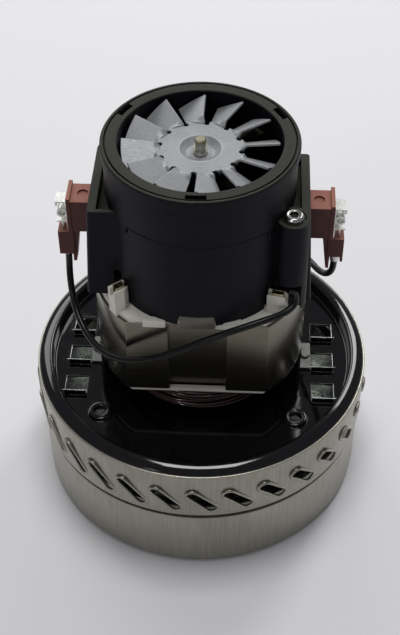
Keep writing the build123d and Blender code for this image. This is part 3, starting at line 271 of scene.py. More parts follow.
@dataclass(frozen=True)
class Finishes:
    """Every finish of the motor, named for what it is."""

    # Deep-drawn steel, brushed up and down: fine bright and dark lines along Z.
    case_steel: Finish = Finish(
        "drawn_steel_cup", "abaa9f", "8b897f", 1.0, (0.28, 0.4), 0.3, (1.0, 1.0, 60.0), 26.0, 0.3, 0.004, 0.3,
        pattern=Pattern.STREAKS)
    # The same sheet rolled into the ring, a little yellower.
    ring_steel: Finish = Finish(
        "rolled_steel_ring", "a8a69b", "868378", 1.0, (0.24, 0.36), 0.3, (1.0, 1.0, 60.0), 20.0, 0.3, 0.004,
        0.12, pattern=Pattern.STREAKS)
    # Stoved gloss paint on the plate: deep black with a faint orange peel.
    black_paint: Finish = Finish(
        "gloss_black_stove_enamel", "040406", "08080b", 0.0, (0.05, 0.1), 2.2, (1, 1, 1), 9.0, 0.4, 0.004,
        0.35)
    # Moulded glass-filled nylon: black with a soft sheen, with painted top light on faces that look up and a
    # painted highlight on its edges.
    black_moulding: Finish = Finish(
        "moulded_black_nylon", "0b0a11", "121118", 0.0, (0.42, 0.55), 0.22, (1, 1, 1), 18.0, 0.5, 0.012, 0.35,
        "4a4a42", 0.5, specular=0.12, painted_top_light="34342d", painted_top_light_share=0.75)
    # Compression-moulded phenolic: red-brown with fine mottling, with painted top light on faces that look up
    # and edges painted lighter, partly wear and partly painted highlight.
    phenolic: Finish = Finish(
        "red_brown_phenolic", "582920", "43191a", 0.0, (0.36, 0.5), 0.5, (1, 1, 1), 6.0, 0.4, 0.01, 0.3,
        "a8705c", 0.6, specular=0.3, painted_top_light="98604f", painted_top_light_share=0.75)
    # Moulded polyester of the coil insulators: warm white, nearly matt, with edges painted lighter, partly
    # wear and partly painted highlight.
    insulator: Finish = Finish(
        "warm_white_moulding", "e4e2d8", "cfccbf", 0.0, (0.4, 0.55), 0.5, (1, 1, 1), 7.0, 0.5, 0.01, 0.3,
        "efeee6", 0.4)
    # Punched electrical sheet: satin grey with fine level lines, and edges painted lighter, partly wear and
    # partly painted highlight.
    laminations: Finish = Finish(
        "stacked_electrical_sheet", "7a766a", "6c685d", 1.0, (0.2, 0.26), 0.5, (160.0, 160.0, 1.0), 14.0, 0.4,
        0.003, 0.25, "d8d6cc", 0.6)
    # Enamelled copper wire: dark red-brown under a gloss varnish.
    copper_wire: Finish = Finish(
        "enamelled_copper_wire", "4a2a28", "241413", 0.5, (0.1, 0.18), 2.0, (1, 1, 1), 5.0, 0.5, 0.002, 0.05,
        coat=1.0)
    # Turned copper of the commutator: warm and evenly satin.
    copper_bar: Finish = Finish("turned_copper_bar", "b87a58", "98603f", 1.0, (0.25, 0.35), 0.3)
    # Stamped brass of the brush tubes: yellow with a soft gloss.
    brass: Finish = Finish("stamped_brass", "b59a5a", "8f763c", 1.0, (0.22, 0.36), 0.6, edge_mm=0.1)
    # Hot-tinned strip: white metal with slightly wavy gloss, and a painted highlight on its edges.
    tinned: Finish = Finish(
        "tinned_brass_strip", "e8e8e4", "bcbbb7", 0.85, (0.28, 0.42), 0.9, (1, 1, 1), 3.0, 0.4, 0.012, 0.2,
        "fbfbf8", 0.6)
    # Bright zinc plate: cool grey with patches of more and less gloss.
    zinc: Finish = Finish(
        "bright_zinc_plate", "bdbdb9", "93938f", 1.0, (0.2, 0.38), 1.0, (1, 1, 1), 6.0, 0.4, 0.006, 0.2)
    # Pale tinned brass of the clips in the coil posts, with a painted highlight along the folds.
    clip: Finish = Finish(
        "pale_brass_clip", "d2ccb0", "8d8462", 1.0, (0.14, 0.3), 0.5, (1, 1, 1), 2.0, 0.4, 0.01, 0.12,
        "f6f2dc", 0.6)
    # Rolled and polished edge of the screw heads: the brightest metal of the motor, with a painted highlight
    # on its edges.
    screw: Finish = Finish(
        "bright_screw_head", "d9d9d6", "a5a5a1", 1.0, (0.16, 0.28), 0.7, (1, 1, 1), 3.0, 0.4, 0.006, 0.15,
        "f2f2ee", 0.4)
    # Floor of the screw's recess, painted nearly black as shade.
    recess: Finish = Finish(
        "screw_recess_painted_shade", "3a3a36", "242420", 1.0, (0.3, 0.5), 0.5, (1, 1, 1), 2.0, 0.4, 0.01, 0.1)
    # Cut edges of the plate's windows as broken bright lines of bare metal, which also stand in for painted
    # highlight.
    cut_edge: Finish = Finish(
        "bare_cut_edge_and_painted_highlight", "d4d6d6", "7c7e80", 0.6, (0.25, 0.45), 1.5, (1, 1, 1), 7.0, 0.6, 0.004, 0.05)
    # Dull zinc on the pressed brackets: flat mid grey.
    bracket: Finish = Finish(
        "dull_zinc_bracket", "777975", "5d5f5b", 1.0, (0.36, 0.5), 1.2, (1, 1, 1), 5.0, 0.4, 0.006, 0.25)
    # Yellow-passivated zinc on the cut thread: silver with an olive tint.
    yellow_zinc: Finish = Finish(
        "yellow_passivated_zinc", "bab69f", "7d775e", 0.75, (0.3, 0.42), 0.8, (1, 1, 1), 3.0, 0.5, 0.004,
        0.08)
    # Hot-dip zinc on the inner sheets: a spangle of light and dark crystals.
    galvanised: Finish = Finish(
        "galvanised_sheet", "d6dcd2", "6a7066", 0.8, (0.3, 0.5), 0.9, (1, 1, 1), 5.0, 0.3, 0.01, 0.2,
        pattern=Pattern.SPANGLE)
    # Mill-finish aluminium of the fan: pale and dull, with a lighter colour painted on its edges.
    fan_sheet: Finish = Finish(
        "stamped_aluminium_fan", "9c9ea0", "87898b", 0.6, (0.45, 0.6), 0.4, (4.0, 1.0, 1.0), 9.0, 0.35, 0.006,
        0.2, "d4d8da", 0.5)
    # Ground steel of shaft, races and springs: cool grey with lines round the axis.
    ground: Finish = Finish("ground_bearing_steel", "b4b4b6", "949496", 1.0, (0.34, 0.46), 0.3, (20, 20, 1))
    # Pressed carbon of the brushes: soft black with a faint metal glint.
    carbon: Finish = Finish("pressed_carbon", "1b1b1c", "2a2a2b", 0.2, (0.5, 0.65), 0.3)
    # Soft vinyl sleeve over the wires: black with a smooth sheen.
    sleeve: Finish = Finish(
        "black_vinyl_sleeve", "050506", "0b0b0c", 0.0, (0.26, 0.36), 1.2, (1, 1, 1), 8.0, 0.5, 0.01, 0.1,
        specular=0.3)
    # Cream moulding of the combs in the skirt's notches, painted grey-beige as shade there: matt and
    # fine-grained.
    comb: Finish = Finish(
        "comb_moulding_painted_shade", "716c62", "5a564d", 0.0, (0.45, 0.6), 0.4, (1, 1, 1), 5.0, 0.5, 0.012, 0.25)


def stand(name: str, data: bpy.types.ID) -> bpy.types.Object:
    """Make an object of some data and put it in the scene.

    Args:
        name: The object's name.
        data: Its mesh, curve, lamp or camera.

    Returns:
        The object.
    """
    thing = bpy.data.objects.new(name, data)
    bpy.context.scene.collection.objects.link(thing)
    return thing


class Workshop:
    """Dresses finished shapes and puts them on the frame."""

    def __init__(self) -> None:
        """Start with no materials made."""
        self.finishes = Finishes()
        self.made: dict[str, bpy.types.Material] = {}

    def material(self, finish: Finish) -> bpy.types.Material:
        """Find the material of a finish, which is made once.

        Args:
            finish: What a piece is made of.

        Returns:
            The material.
        """
        if finish.name not in self.made:
            self.made[finish.name] = finish.material()
        return self.made[finish.name]

    def dress(self, node: str, finish: Finish) -> None:
        """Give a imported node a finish.

        Args:
            node: The node's name.
            finish: What it is made of.
        """
        mesh = bpy.data.objects[node].data
        mesh.materials.clear()
        mesh.materials.append(self.material(finish))
        LOG.info("dressed %s in %s", node, finish.name)

    def mount(
        self, data: bpy.types.ID, name: str, finish: Finish, slot: str, *nodes: str,
        body: str = "motor_frame",
    ) -> bpy.types.Object:
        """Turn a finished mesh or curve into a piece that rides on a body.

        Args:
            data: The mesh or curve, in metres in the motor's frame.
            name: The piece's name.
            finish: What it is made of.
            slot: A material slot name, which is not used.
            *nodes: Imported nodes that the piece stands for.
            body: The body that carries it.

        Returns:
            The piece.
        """
        data.materials.append(self.material(finish))
        piece = stand(name, data)
        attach(piece, body)
        if nodes:
            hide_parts(*nodes)
        LOG.info("placed %s on %s", name, body)
        return piece

    def place(
        self, shape: Shape, name: str, finish: Finish, slot: str, *nodes: str, body: str = "motor_frame",
        smooth_deg: float = 32.0,
    ) -> bpy.types.Object:
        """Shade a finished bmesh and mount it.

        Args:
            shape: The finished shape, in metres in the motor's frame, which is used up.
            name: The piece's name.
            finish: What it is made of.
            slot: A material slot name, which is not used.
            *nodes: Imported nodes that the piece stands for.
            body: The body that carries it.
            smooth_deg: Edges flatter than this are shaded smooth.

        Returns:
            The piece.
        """
        bmesh.ops.recalc_face_normals(shape, faces=shape.faces)
        limit = math.radians(smooth_deg)
        for face in shape.faces:
            face.smooth = True
        for edge in shape.edges:
            edge.smooth = len(edge.link_faces) == 2 and edge.calc_face_angle(0.0) < limit
        mesh = bpy.data.meshes.new(name)
        shape.to_mesh(mesh)
        shape.free()
        return self.mount(mesh, name, finish, slot, *nodes, body=body)


def on_circle(radius: float, azimuth_deg: float, level: float = 0.0) -> Point:
    """Find a point round the shaft.

    Args:
        radius: Its distance from the shaft.
        azimuth_deg: Its direction, from +X to +Y.
        level: Its height.

    Returns:
        The point.
    """
    angle = math.radians(azimuth_deg)
    return (radius * math.cos(angle), radius * math.sin(angle), level)


def turns(count: int, first_deg: float) -> list[float]:
    """Space some directions evenly round the shaft, in degrees."""
    return [first_deg + index * 360.0 / count for index in range(count)]


def lathe(points: list[Flat], steps: int = 128) -> Shape:
    """Turn a closed outline about Z.

    Args:
        points: Radius and level of each corner.
        steps: Faces round the axis.

    Returns:
        The turned shape.
    """
    shape = bmesh.new()
    corners = [shape.verts.new((radius * MM, 0.0, level * MM)) for radius, level in points]
    edges = [shape.edges.new((corners[i], corners[(i + 1) % len(corners)])) for i in range(len(corners))]
    bmesh.ops.spin(
        shape, geom=corners + edges, axis=(0, 0, 1), cent=(0, 0, 0), dvec=(0, 0, 0), angle=math.tau,
        steps=steps, use_merge=True, use_duplicate=False)
    bmesh.ops.remove_doubles(shape, verts=shape.verts, dist=MM * MM)
    return shape


def round_edges(shape: Shape, sharp_deg: float, radius: float, segments: int = 2) -> None:
    """Bevel the sharp edges of a shape.

    Args:
        shape: The shape to work on.
        sharp_deg: Edges bent more than this are rounded.
        radius: Width of the rounding.
        segments: Faces across it.
    """
    limit = math.radians(sharp_deg)
    sharp = [edge for edge in shape.edges if len(edge.link_faces) == 2 and edge.calc_face_angle(0.0) > limit]
    bmesh.ops.bevel(
        shape, geom=sharp, offset=radius * MM, offset_type="OFFSET", segments=segments, profile=0.5,
        affect="EDGES", clamp_overlap=True, material=-1)


def rounded(points: list[Flat], rounds: dict[int, float], steps: int = 6) -> list[Flat]:
    """Round some corners of a closed outline.

    Args:
        points: The outline's corners.
        rounds: Corner numbers with their radii.
        steps: Sides of each rounding.

    Returns:
        The outline with its roundings.
    """
    line = []
    for index, point in enumerate(points):
        here = Vector(point)
        if index not in rounds:
            line.append(tuple(here))
            continue
        before = (Vector(points[index - 1]) - here).normalized()
        after = (Vector(points[(index + 1) % len(points)]) - here).normalized()
        half = before.angle(after) / 2
        radius = rounds[index]
        reach = radius / math.tan(half)
        centre = here + (before + after).normalized() * radius / math.sin(half)
        start = here + before * reach - centre
        end = here + after * reach - centre
        for step in range(steps + 1):
            line.append(tuple(centre + start.lerp(end, step / steps).normalized() * radius))
    return line


def slab(low: Point, high: Point, rounding: float = 0.0, segments: int = 2) -> Shape:
    """Make a block.

    Args:
        low: Its lowest corner.
        high: Its highest corner.
        rounding: Radius of its edges, or zero where it only cuts.
        segments: Faces across each rounding.

    Returns:
        The block.
    """
    shape = bmesh.new()
    bmesh.ops.create_cube(shape, size=1.0)
    bmesh.ops.scale(shape, verts=shape.verts, vec=(Vector(high) - Vector(low)) * MM)
    bmesh.ops.translate(shape, verts=shape.verts, vec=(Vector(low) + Vector(high)) / 2 * MM)
    if rounding:
        round_edges(shape, CORNER_DEG, rounding, segments)
    return shape


def rod(radius: float, low: float, high: float, spot: Flat, sides: int = 48) -> Shape:
    """Make an upright round rod to cut with.

    Args:
        radius: Its radius.
        low: Its lower end.
        high: Its upper end.
        spot: Its place across and along.
        sides: Faces round it.

    Returns:
        The rod.
    """
    shape = bmesh.new()
    bmesh.ops.create_cone(
        shape, cap_ends=True, segments=sides, radius1=radius * MM, radius2=radius * MM,
        depth=(high - low) * MM, matrix=Matrix.Translation(Vector((*spot, (low + high) / 2)) * MM))
    return shape


def wire(
    name: str, lines: list[list[Point]], radius: float, run: Run = Run.STRAIGHT, closed: bool = False,
    rings: int = 3, steps: int = 12,
) -> bpy.types.Curve:
    """Draw round wires along lines of points.

    Args:
        name: The curve's name.
        lines: Points of each wire.
        radius: Radius of the wire.
        run: How the wire runs between its points.
        closed: Whether each wire is a closed loop.
        rings: Roundness of the wire.
        steps: Pieces between two points of a smooth run.

    Returns:
        The wires as one curve.
    """
    curve = bpy.data.curves.new(name, "CURVE")
    curve.dimensions = "3D"
    curve.bevel_depth = radius * MM
    curve.bevel_resolution = rings
    curve.use_fill_caps = True
    for points in lines:
        line = curve.splines.new(run.value)
        line.points.add(len(points) - 1)
        for target, point in zip(line.points, points):
            target.co = (point[0] * MM, point[1] * MM, point[2] * MM, 1.0)
        line.use_cyclic_u = closed
        if run is Run.SMOOTH:
            line.order_u = 3
            line.use_endpoint_u = True
            line.resolution_u = steps
    return curve


def wire_mesh(lines: list[list[Point]], radius: float, closed: bool = False) -> Shape:
    """Make round wires with straight runs as a shape.

    Args:
        lines: Points of each wire.
        radius: Radius of the wire.
        closed: Whether each wire is a closed loop.

    Returns:
        The wires' shape.
    """
    curve = wire("wires", lines, radius, closed=closed)
    thing = stand("wires", curve)
    bpy.context.view_layer.update()
    mesh = bpy.data.meshes.new_from_object(thing.evaluated_get(bpy.context.evaluated_depsgraph_get()))
    shape = bmesh.new()
    shape.from_mesh(mesh)
    bpy.data.objects.remove(thing)
    bpy.data.curves.remove(curve)
    bpy.data.meshes.remove(mesh)
    return shape


def merge(shape: Shape, other: Shape) -> None:
    """Move everything of one shape into another.

    Args:
        shape: The shape that grows.
        other: The shape that is used up.
    """
    mesh = bpy.data.meshes.new("part")
    other.to_mesh(mesh)
    other.free()
    shape.from_mesh(mesh)
    bpy.data.meshes.remove(mesh)


def corners_of(parts: list[object]) -> list[bmesh.types.BMVert]:
    """Pick the corners out of what an operator gives back."""
    return [part for part in parts if isinstance(part, bmesh.types.BMVert)]


def shift(shape: Shape, spot: Flat) -> Shape:
    """Move a shape sideways and hand it back."""
    bmesh.ops.translate(shape, verts=shape.verts, vec=(spot[0] * MM, spot[1] * MM, 0.0))
    return shape


def opposite(shape: Shape) -> Shape:
    """Add a second copy of a shape, turned half a turn about the shaft.

    Args:
        shape: The shape that gets its copy.

    Returns:
        The same shape.
    """
    found = bmesh.ops.duplicate(shape, geom=[*shape.verts, *shape.edges, *shape.faces])["geom"]
    bmesh.ops.rotate(
        shape, verts=corners_of(found), cent=(0.0, 0.0, 0.0), matrix=Matrix.Rotation(math.pi, 3, "Z"))
    return shape


def carve(shape: Shape, cutter: Shape) -> Shape:
    """Take one closed shape away from another.

    Args:
        shape: The closed shape to cut, which is used up.
        cutter: The closed shape to take away, which is used up.

    Returns:
        What is left.
    """
    things = []
    for part in (shape, cutter):
        bmesh.ops.recalc_face_normals(part, faces=part.faces)
        mesh = bpy.data.meshes.new("carving")
        part.to_mesh(mesh)
        part.free()
        things.append(stand("carving", mesh))
    cut = things[0].modifiers.new("cut", "BOOLEAN")
    cut.operation = "DIFFERENCE"
    cut.solver = "EXACT"
    cut.object = things[1]
    bpy.context.view_layer.update()
    left = bmesh.new()
    left.from_mesh(things[0].evaluated_get(bpy.context.evaluated_depsgraph_get()).data)
    for thing in things:
        mesh = thing.data
        bpy.data.objects.remove(thing)
        bpy.data.meshes.remove(mesh)
    return left


@dataclass
class TurbineCase:
    """The drawn cup and the louvred ring above it."""

    radius: float = 71.15
    sheet: float = 0.8
    corner: float = 3.0
    inlet: float = 19.0
    inlet_round: float = 1.6
    lip: float = 5.2
    neck_radius: float = 69.6
    neck_level: float = 31.9
    neck_round: float = 0.45
    neck_rise: float = 0.5
    neck_drop: float = 1.5
    top: float = 38.0
    ring_radius: float = 71.88
    ring_inner: float = 71.2
    ring_low: float = 34.9
    ring_high: float = 60.35
    ring_low_round: float = 0.3
    ring_high_round: float = 0.35
    slots: int = 30
    slot_first_deg: float = -3.1
    slot_level: float = 44.39
    slot_length: float = 16.2
    slot_width: float = 4.5
    slot_slant_deg: float = 47.0
    slot_end_sides: int = 10
    plug_reach: float = 2.0
    plug_length: float = 4.5
    rim_wire: float = 0.72
    rim_lift: float = 0.95
    rim_fade: float = 1.5
    rim_tilt: float = 0.35
    rim_sink: float = 0.5
    rim_seat_share: float = 0.7

    def cup(self) -> Shape:
        """Turn the cup with its rolled inlet eye and the neck that the ring fits round.

        Returns:
            The cup.
        """
        inside = self.radius - self.sheet
        neck_inside = self.neck_radius - self.sheet
        outline = rounded([
            (self.inlet, self.lip), (self.inlet, 0.0), (self.radius, 0.0), (self.radius, self.neck_level),
            (self.neck_radius, self.neck_level + self.neck_rise), (self.neck_radius, self.top),
            (neck_inside, self.top), (neck_inside, self.neck_level),
            (inside, self.neck_level - self.neck_drop), (inside, self.sheet),
            (self.inlet + self.sheet, self.sheet), (self.inlet + self.sheet, self.lip),
        ], {1: self.inlet_round, 2: self.corner, 3: self.neck_round, 9: self.corner - self.sheet,
            10: self.inlet_round - self.sheet})
        return lathe(outline, 256)

    def on_wall(self, along: float, across: float, lift: float, turn_deg: float) -> Point:
        """Lay a point of one slot on the ring's wall.

        Args:
            along: Place along the slot.
            across: Place across the slot.
            lift: Height over the wall.
            turn_deg: The slot's azimuth.

        Returns:
            The point.
        """
        slant = math.radians(self.slot_slant_deg)
        side = along * math.cos(slant) + across * math.sin(slant)
        level = self.slot_level - along * math.sin(slant) + across * math.cos(slant)
        return on_circle(self.ring_radius + lift, turn_deg + math.degrees(side / self.ring_radius), level)

    def slot_outline(self, grow: float = 0.0) -> list[Flat]:
        """Draw the round-ended outline of a slot.

        Args:
            grow: How far it is grown outwards.

        Returns:
            Places along and across the slot.
        """
        radius = self.slot_width / 2 + grow
        reach = (self.slot_length - self.slot_width) / 2
        line = []
        for end in (1, -1):
            for step in range(self.slot_end_sides + 1):
                across, along, _ = on_circle(radius, 180.0 * step / self.slot_end_sides)
                line.append((end * (reach + along), -end * across))
        return line

    def plugs(self) -> Shape:
        """Make every slot as a closed plug through the wall, to cut with.

        Returns:
            The plugs.
        """
        plugs = bmesh.new()
        for turn in turns(self.slots, self.slot_first_deg):
            outer = [
                plugs.verts.new([value * MM for value in self.on_wall(along, across, self.plug_reach, turn)])
                for along, across in self.slot_outline()]
            pushed = bmesh.ops.extrude_face_region(plugs, geom=[plugs.faces.new(outer)])["geom"]
            bmesh.ops.translate(
                plugs, verts=corners_of(pushed), vec=-Vector(on_circle(self.plug_length, turn)) * MM)
        return plugs

    def ring(self) -> Shape:
        """Make the ring with its slots and the pressed lip round each.

        Returns:
            The ring.
        """
        outline = rounded([
            (self.ring_inner, self.ring_low), (self.ring_radius, self.ring_low),
            (self.ring_radius, self.ring_high), (self.ring_inner, self.ring_high),
        ], {1: self.ring_low_round, 2: self.ring_high_round}, 3)
        shape = carve(lathe(outline, 240), self.plugs())
        lips = []
        for turn in turns(self.slots, self.slot_first_deg):
            line = []
            for along, across in self.slot_outline(self.rim_wire * self.rim_seat_share):
                share = max(0.0, 0.5 - along / (self.slot_length + 2 * self.rim_wire))
                lift = self.rim_lift * share ** self.rim_fade + self.rim_tilt * across / self.slot_width
                line.append(self.on_wall(along, across, lift - self.rim_sink, turn))
            lips.append(line)
        merge(shape, wire_mesh(lips, self.rim_wire, True))
        return shape

    def build(self, shop: Workshop) -> None:
        """Make the cup and the ring.

        Args:
            shop: Where pieces are dressed.
        """
        kinds = shop.finishes
        shop.place(self.cup(), "turbine_cup", kinds.case_steel, "case_steel", "inlet_shell")
        shop.place(
            self.ring(), "louvred_ring", kinds.ring_steel, "ring_steel", "exhaust_ring", smooth_deg=40.0)


@dataclass
class BasePlate:
    """The painted plate: rolled rim, floor, well, windows and raised holes."""

    level: float = 56.5
    sheet: float = 1.0
    rim_outer: float = 71.15
    rim_inner: float = 65.1
    rim_top: float = 62.8
    toe: float = 0.35
    inner_drop: float = 0.9
    crest: float = 1.1
    shoulder: float = 2.6
    shoulder_drop: float = 0.4
    outer_drop: float = 1.9
    fold_outer_drop: float = 1.5
    fold_inner_drop: float = 1.2
    skirt: float = 58.6
    well: float = 38.5
    well_foot: float = 37.3
    well_level: float = 52.5
    hole: float = 11.8
    window_inner: float = 48.4
    window_outer: float = 58.0
    window_fronts: tuple[float, ...] = (-25.45, -7.45, 10.55)
    window_width: float = 10.1
    cut_below: float = 2.5
    cut_above: float = 1.5
    hole_cut_above: float = 0.5
    flap: float = 2.6
    flap_sheet: float = 0.95
    flap_gap: float = 0.02
    flap_foot: float = 0.6
    flap_round: float = 0.3
    collar_circle: float = 54.6
    collar_spread_deg: float = 49.0
    collar_radius: float = 4.8
    collar_hole: float = 2.6
    collar_rise: float = 1.5
    collar_foot: float = 0.9
    collar_flare: float = 0.5
    collar_lean: float = 0.35
    edge_wire: float = 0.2
    edge_inset: float = 0.4
    edge_reach: float = 0.5
    edge_back: float = 0.3
    edge_lift: float = 0.1

    def pan(self) -> Shape:
        """Turn the pan with its rolled rim.

        Returns:
            The pan.
        """
        top = self.level
        t = self.sheet
        outline = rounded([
            (self.hole, self.well_level - t), (self.hole, self.well_level), (self.well_foot, self.well_level),
            (self.well, top), (self.rim_inner - self.toe, top),
            (self.rim_inner, self.rim_top - self.inner_drop), (self.rim_inner + self.crest, self.rim_top),
            (self.rim_outer - self.shoulder, self.rim_top - self.shoulder_drop),
            (self.rim_outer, self.rim_top - self.outer_drop), (self.rim_outer, self.skirt),
            (self.rim_outer - t, self.skirt), (self.rim_outer - t, self.rim_top - t - self.fold_outer_drop),
            (self.rim_inner + t, self.rim_top - t - self.fold_inner_drop),
            (self.rim_inner - self.toe + t, top - t), (self.well + t, top - t),
            (self.well_foot + t, self.well_level - t),
        ], {2: 0.8, 3: 0.9, 4: 0.7, 5: 0.5, 6: 1.2, 7: 6.0, 8: 1.2, 11: 0.4, 12: 0.6, 13: 0.6, 14: 0.5}, 8)
        return lathe(outline, 288)

    def windows(self) -> list[tuple[int, float, float, float]]:
        """List the windows.

        Returns:
            Side, lower X, upper X and front edge of each.
        """
        found = []
        for side in (-1, 1):
            low, high = sorted((side * self.window_inner, side * self.window_outer))
            found += [(side, low, high, front) for front in self.window_fronts]
        return found

    def collar_spots(self) -> list[Flat]:
        """The middles of the four raised holes."""
        return [on_circle(self.collar_circle, middle + side * self.collar_spread_deg)[:2]
                for middle in (-90, 90) for side in (-1, 1)]

    def cutters(self) -> Shape:
        """Make what cuts the windows and holes.

        Returns:
            The cutters.
        """
        cutters = bmesh.new()
        low = self.level - self.cut_below
        for _, left, right, front in self.windows():
            merge(cutters, slab(
                (left, front, low), (right, front + self.window_width, self.level + self.cut_above)))
        for spot in self.collar_spots():
            merge(cutters, rod(self.collar_hole, low, self.level + self.hole_cut_above, spot))
        return cutters

    def collar(self, spot: Flat) -> Shape:
        """Make one raised hole with its rounded rim.

        Args:
            spot: Its middle.

        Returns:
            The collar.
        """
        high = self.level + self.collar_rise
        low = self.level - self.collar_foot
        outline = rounded([
            (self.collar_hole, low), (self.collar_radius + self.collar_flare, low),
            (self.collar_radius + self.collar_lean, self.level), (self.collar_radius, high),
            (self.collar_hole, high),
        ], {3: 0.6, 4: 0.45}, 4)
        return shift(lathe(outline, 48), spot)

    def tongues(self) -> Shape:
        """Make the tongue at the front edge of each window, thin and round-edged.

        Returns:
            The tongues.
        """
        shape = bmesh.new()
        for _, left, right, front in self.windows():
            merge(shape, slab(
                (left, front - self.flap_sheet, self.level - self.flap_foot),
                (right, front - self.flap_gap, self.level + self.flap), self.flap_round, 3))
        return shape

    def edges(self) -> Shape:
        """Make the bright cut edge along each tongue and down each window's outer side, bare metal that also
        serves as painted highlight.

        Returns:
            The edges' shape.
        """
        lines = []
        high = self.level + self.flap - self.edge_lift
        low = self.level + self.edge_lift
        for side, _, _, front in self.windows():
            inner = side * (self.window_inner - self.edge_inset)
            outer = side * (self.window_outer + self.edge_reach)
            row = front - self.edge_reach
            lines.append([(inner, row, high), (outer, row, high)])
            lines.append([(outer, row, high), (outer + side * self.edge_reach, row, high + self.edge_back)])
            back = front + self.window_width
            lines.append([
                (side * self.window_outer, front + self.edge_back, low),
                (side * (self.window_outer - self.edge_lift), back - self.edge_back, low)])
        return wire_mesh(lines, self.edge_wire)

    def build(self, shop: Workshop) -> None:
        """Make the plate.

        Args:
            shop: Where pieces are dressed.
        """
        kinds = shop.finishes
        shape = carve(self.pan(), self.cutters())
        for spot in self.collar_spots():
            merge(shape, self.collar(spot))
        merge(shape, self.tongues())
        shop.place(
            shape, "painted_plate", kinds.black_paint, "black_paint", "base_plate", smooth_deg=35.0)
        # The window edges are bright bare metal that also stands in for painted highlight.
        shop.place(self.edges(), "window_edges", kinds.cut_edge, "black_paint", smooth_deg=60.0)


@dataclass
class CoolingFan:
    """The stamped fan on the threaded end of the shaft."""

    level: float = 169.7
    sheet: float = 1.0
    hub_radius: float = 16.6
    dish_radius: float = 7.8
    floor_radius: float = 4.9
    dish_depth: float = 2.4
    bore: float = 2.2
    lip: float = 0.22
    lip_toe: float = 0.1
    lip_crest: float = 0.5
    lip_foot: float = 0.9
    hub_round: float = 0.12
    root_overlap: float = 0.6
    tip_radius: float = 30.1
    root_width: float = 6.8
    tip_width: float = 12.5
    flare: float = 1.6
    pitch_deg: float = 30.5
    turn_length: float = 1.6
    blade_sheet_share: float = 0.9
    blade_round: float = 0.14
    blades: int = 12
    first_deg: float = 8.6
    hole_radius: float = 1.25
    hole_circle: float = 15.9

    def hub(self) -> Shape:
        """Turn the dished hub disc.

        Returns:
            The hub.
        """
        low = self.level - self.sheet / 2
        high = self.level + self.sheet / 2
        floor = high - self.dish_depth
        dish = self.dish_radius
        inner = self.floor_radius
        return lathe([
            (self.bore, low - self.dish_depth), (inner, low - self.dish_depth), (dish, low),
            (self.hub_radius, low), (self.hub_radius, high), (dish + self.lip_foot, high),
            (dish + self.lip_crest, high + self.lip / 2), (dish + self.lip_toe, high),
            (inner + self.lip_foot, floor + self.lip_crest),
            (inner + self.lip_crest - self.lip_toe, floor + self.lip), (inner, floor + self.lip),
            (inner - self.lip_crest, floor), (self.bore, floor),
        ], 144)

    def blade(self, shape: Shape, turn_deg: float) -> None:
        """Add one blade, turned out of the hub's plane over a short bend.

        Args:
            shape: The blades so far.
            turn_deg: The blade's azimuth.
        """
        inner = self.hub_radius - self.root_overlap
        skin = bmesh.ops.create_grid(shape, x_segments=14, y_segments=6, size=0.5)["verts"]
        pitch = math.radians(self.pitch_deg)
        for vert in skin:
            bent = (vert.co.x + 0.5) ** self.flare
            radius = inner + (self.tip_radius - inner) * bent
            turn = pitch * min(1.0, (radius - inner) / self.turn_length)
            sweep = -vert.co.y * (self.root_width + (self.tip_width - self.root_width) * bent)
            across = sweep * math.cos(turn)
            reach = math.sqrt(max(radius * radius - across * across, 0.0))
            vert.co = Vector((reach * MM, across * MM, (self.level - sweep * math.sin(turn)) * MM))
        faces = list({face for vert in skin for face in vert.link_faces})
        bmesh.ops.recalc_face_normals(shape, faces=faces)
        thick = bmesh.ops.solidify(shape, geom=faces, thickness=self.sheet * self.blade_sheet_share * MM)
        every = set(skin) | set(corners_of(thick["geom"]))
        bmesh.ops.rotate(
            shape, verts=list(every), cent=(0, 0, 0), matrix=Matrix.Rotation(math.radians(turn_deg), 3, "Z"))

    def holes(self) -> Shape:
        """Make what cuts the relief holes, one between each two blades.

        Returns:
            The cutters.
        """
        cutters = bmesh.new()
        low, high = (self.level + side * self.sheet * 2 for side in (-1, 1))
        for turn in turns(self.blades, self.first_deg + 180.0 / self.blades):
            merge(cutters, rod(self.hole_radius, low, high, on_circle(self.hole_circle, turn)[:2], 20))
        return cutters

    def build(self, shop: Workshop) -> None:
        """Make the fan.

        Args:
            shop: Where pieces are dressed.
        """
        shape = carve(self.hub(), self.holes())
        round_edges(shape, 50.0, self.hub_round)
        blades = bmesh.new()
        for turn in turns(self.blades, self.first_deg):
            self.blade(blades, turn)
        round_edges(blades, CORNER_DEG, self.blade_round)
        merge(shape, blades)
        shop.place(
            shape, "fan_dressed", shop.finishes.fan_sheet, "fan_aluminium", "cooling_fan", body="rotor",
            smooth_deg=13.0)


@dataclass
class ThreadedEnd:
    """The cut thread on the shaft's upper end."""

    radius: float = 2.35
    root: float = 1.72
    low: float = 167.9
    high: float = 174.52
    pitch: float = 1.0
    run_out: float = 0.6
    flank_shares: tuple[float, ...] = (0.0, 0.4, 0.6, 0.95)
    point: tuple[Flat, ...] = ((0.0, 0.9), (0.12, 0.5), (0.55, 0.02))
    face: float = 1.0

    def build(self, shop: Workshop) -> None:
        """Make the thread's ridges over the plain end.

        Args:
            shop: Where pieces are dressed.
        """
        outline = [(AXIS_GAP, self.low)]
        for index in range(int((self.high - self.low - self.run_out) / self.pitch)):
            foot = self.low + index * self.pitch
            radii = (self.root, self.radius, self.radius, self.root)
            levels = [foot + self.pitch * share for share in self.flank_shares]
            outline += zip(radii, levels)
        outline += [(self.radius - inset, self.high - drop) for inset, drop in self.point]
        outline += [(self.face, self.high), (AXIS_GAP, self.high)]
        shop.place(
            lathe(outline, 48), "shaft_thread", shop.finishes.yellow_zinc, "ground_steel", body="rotor")


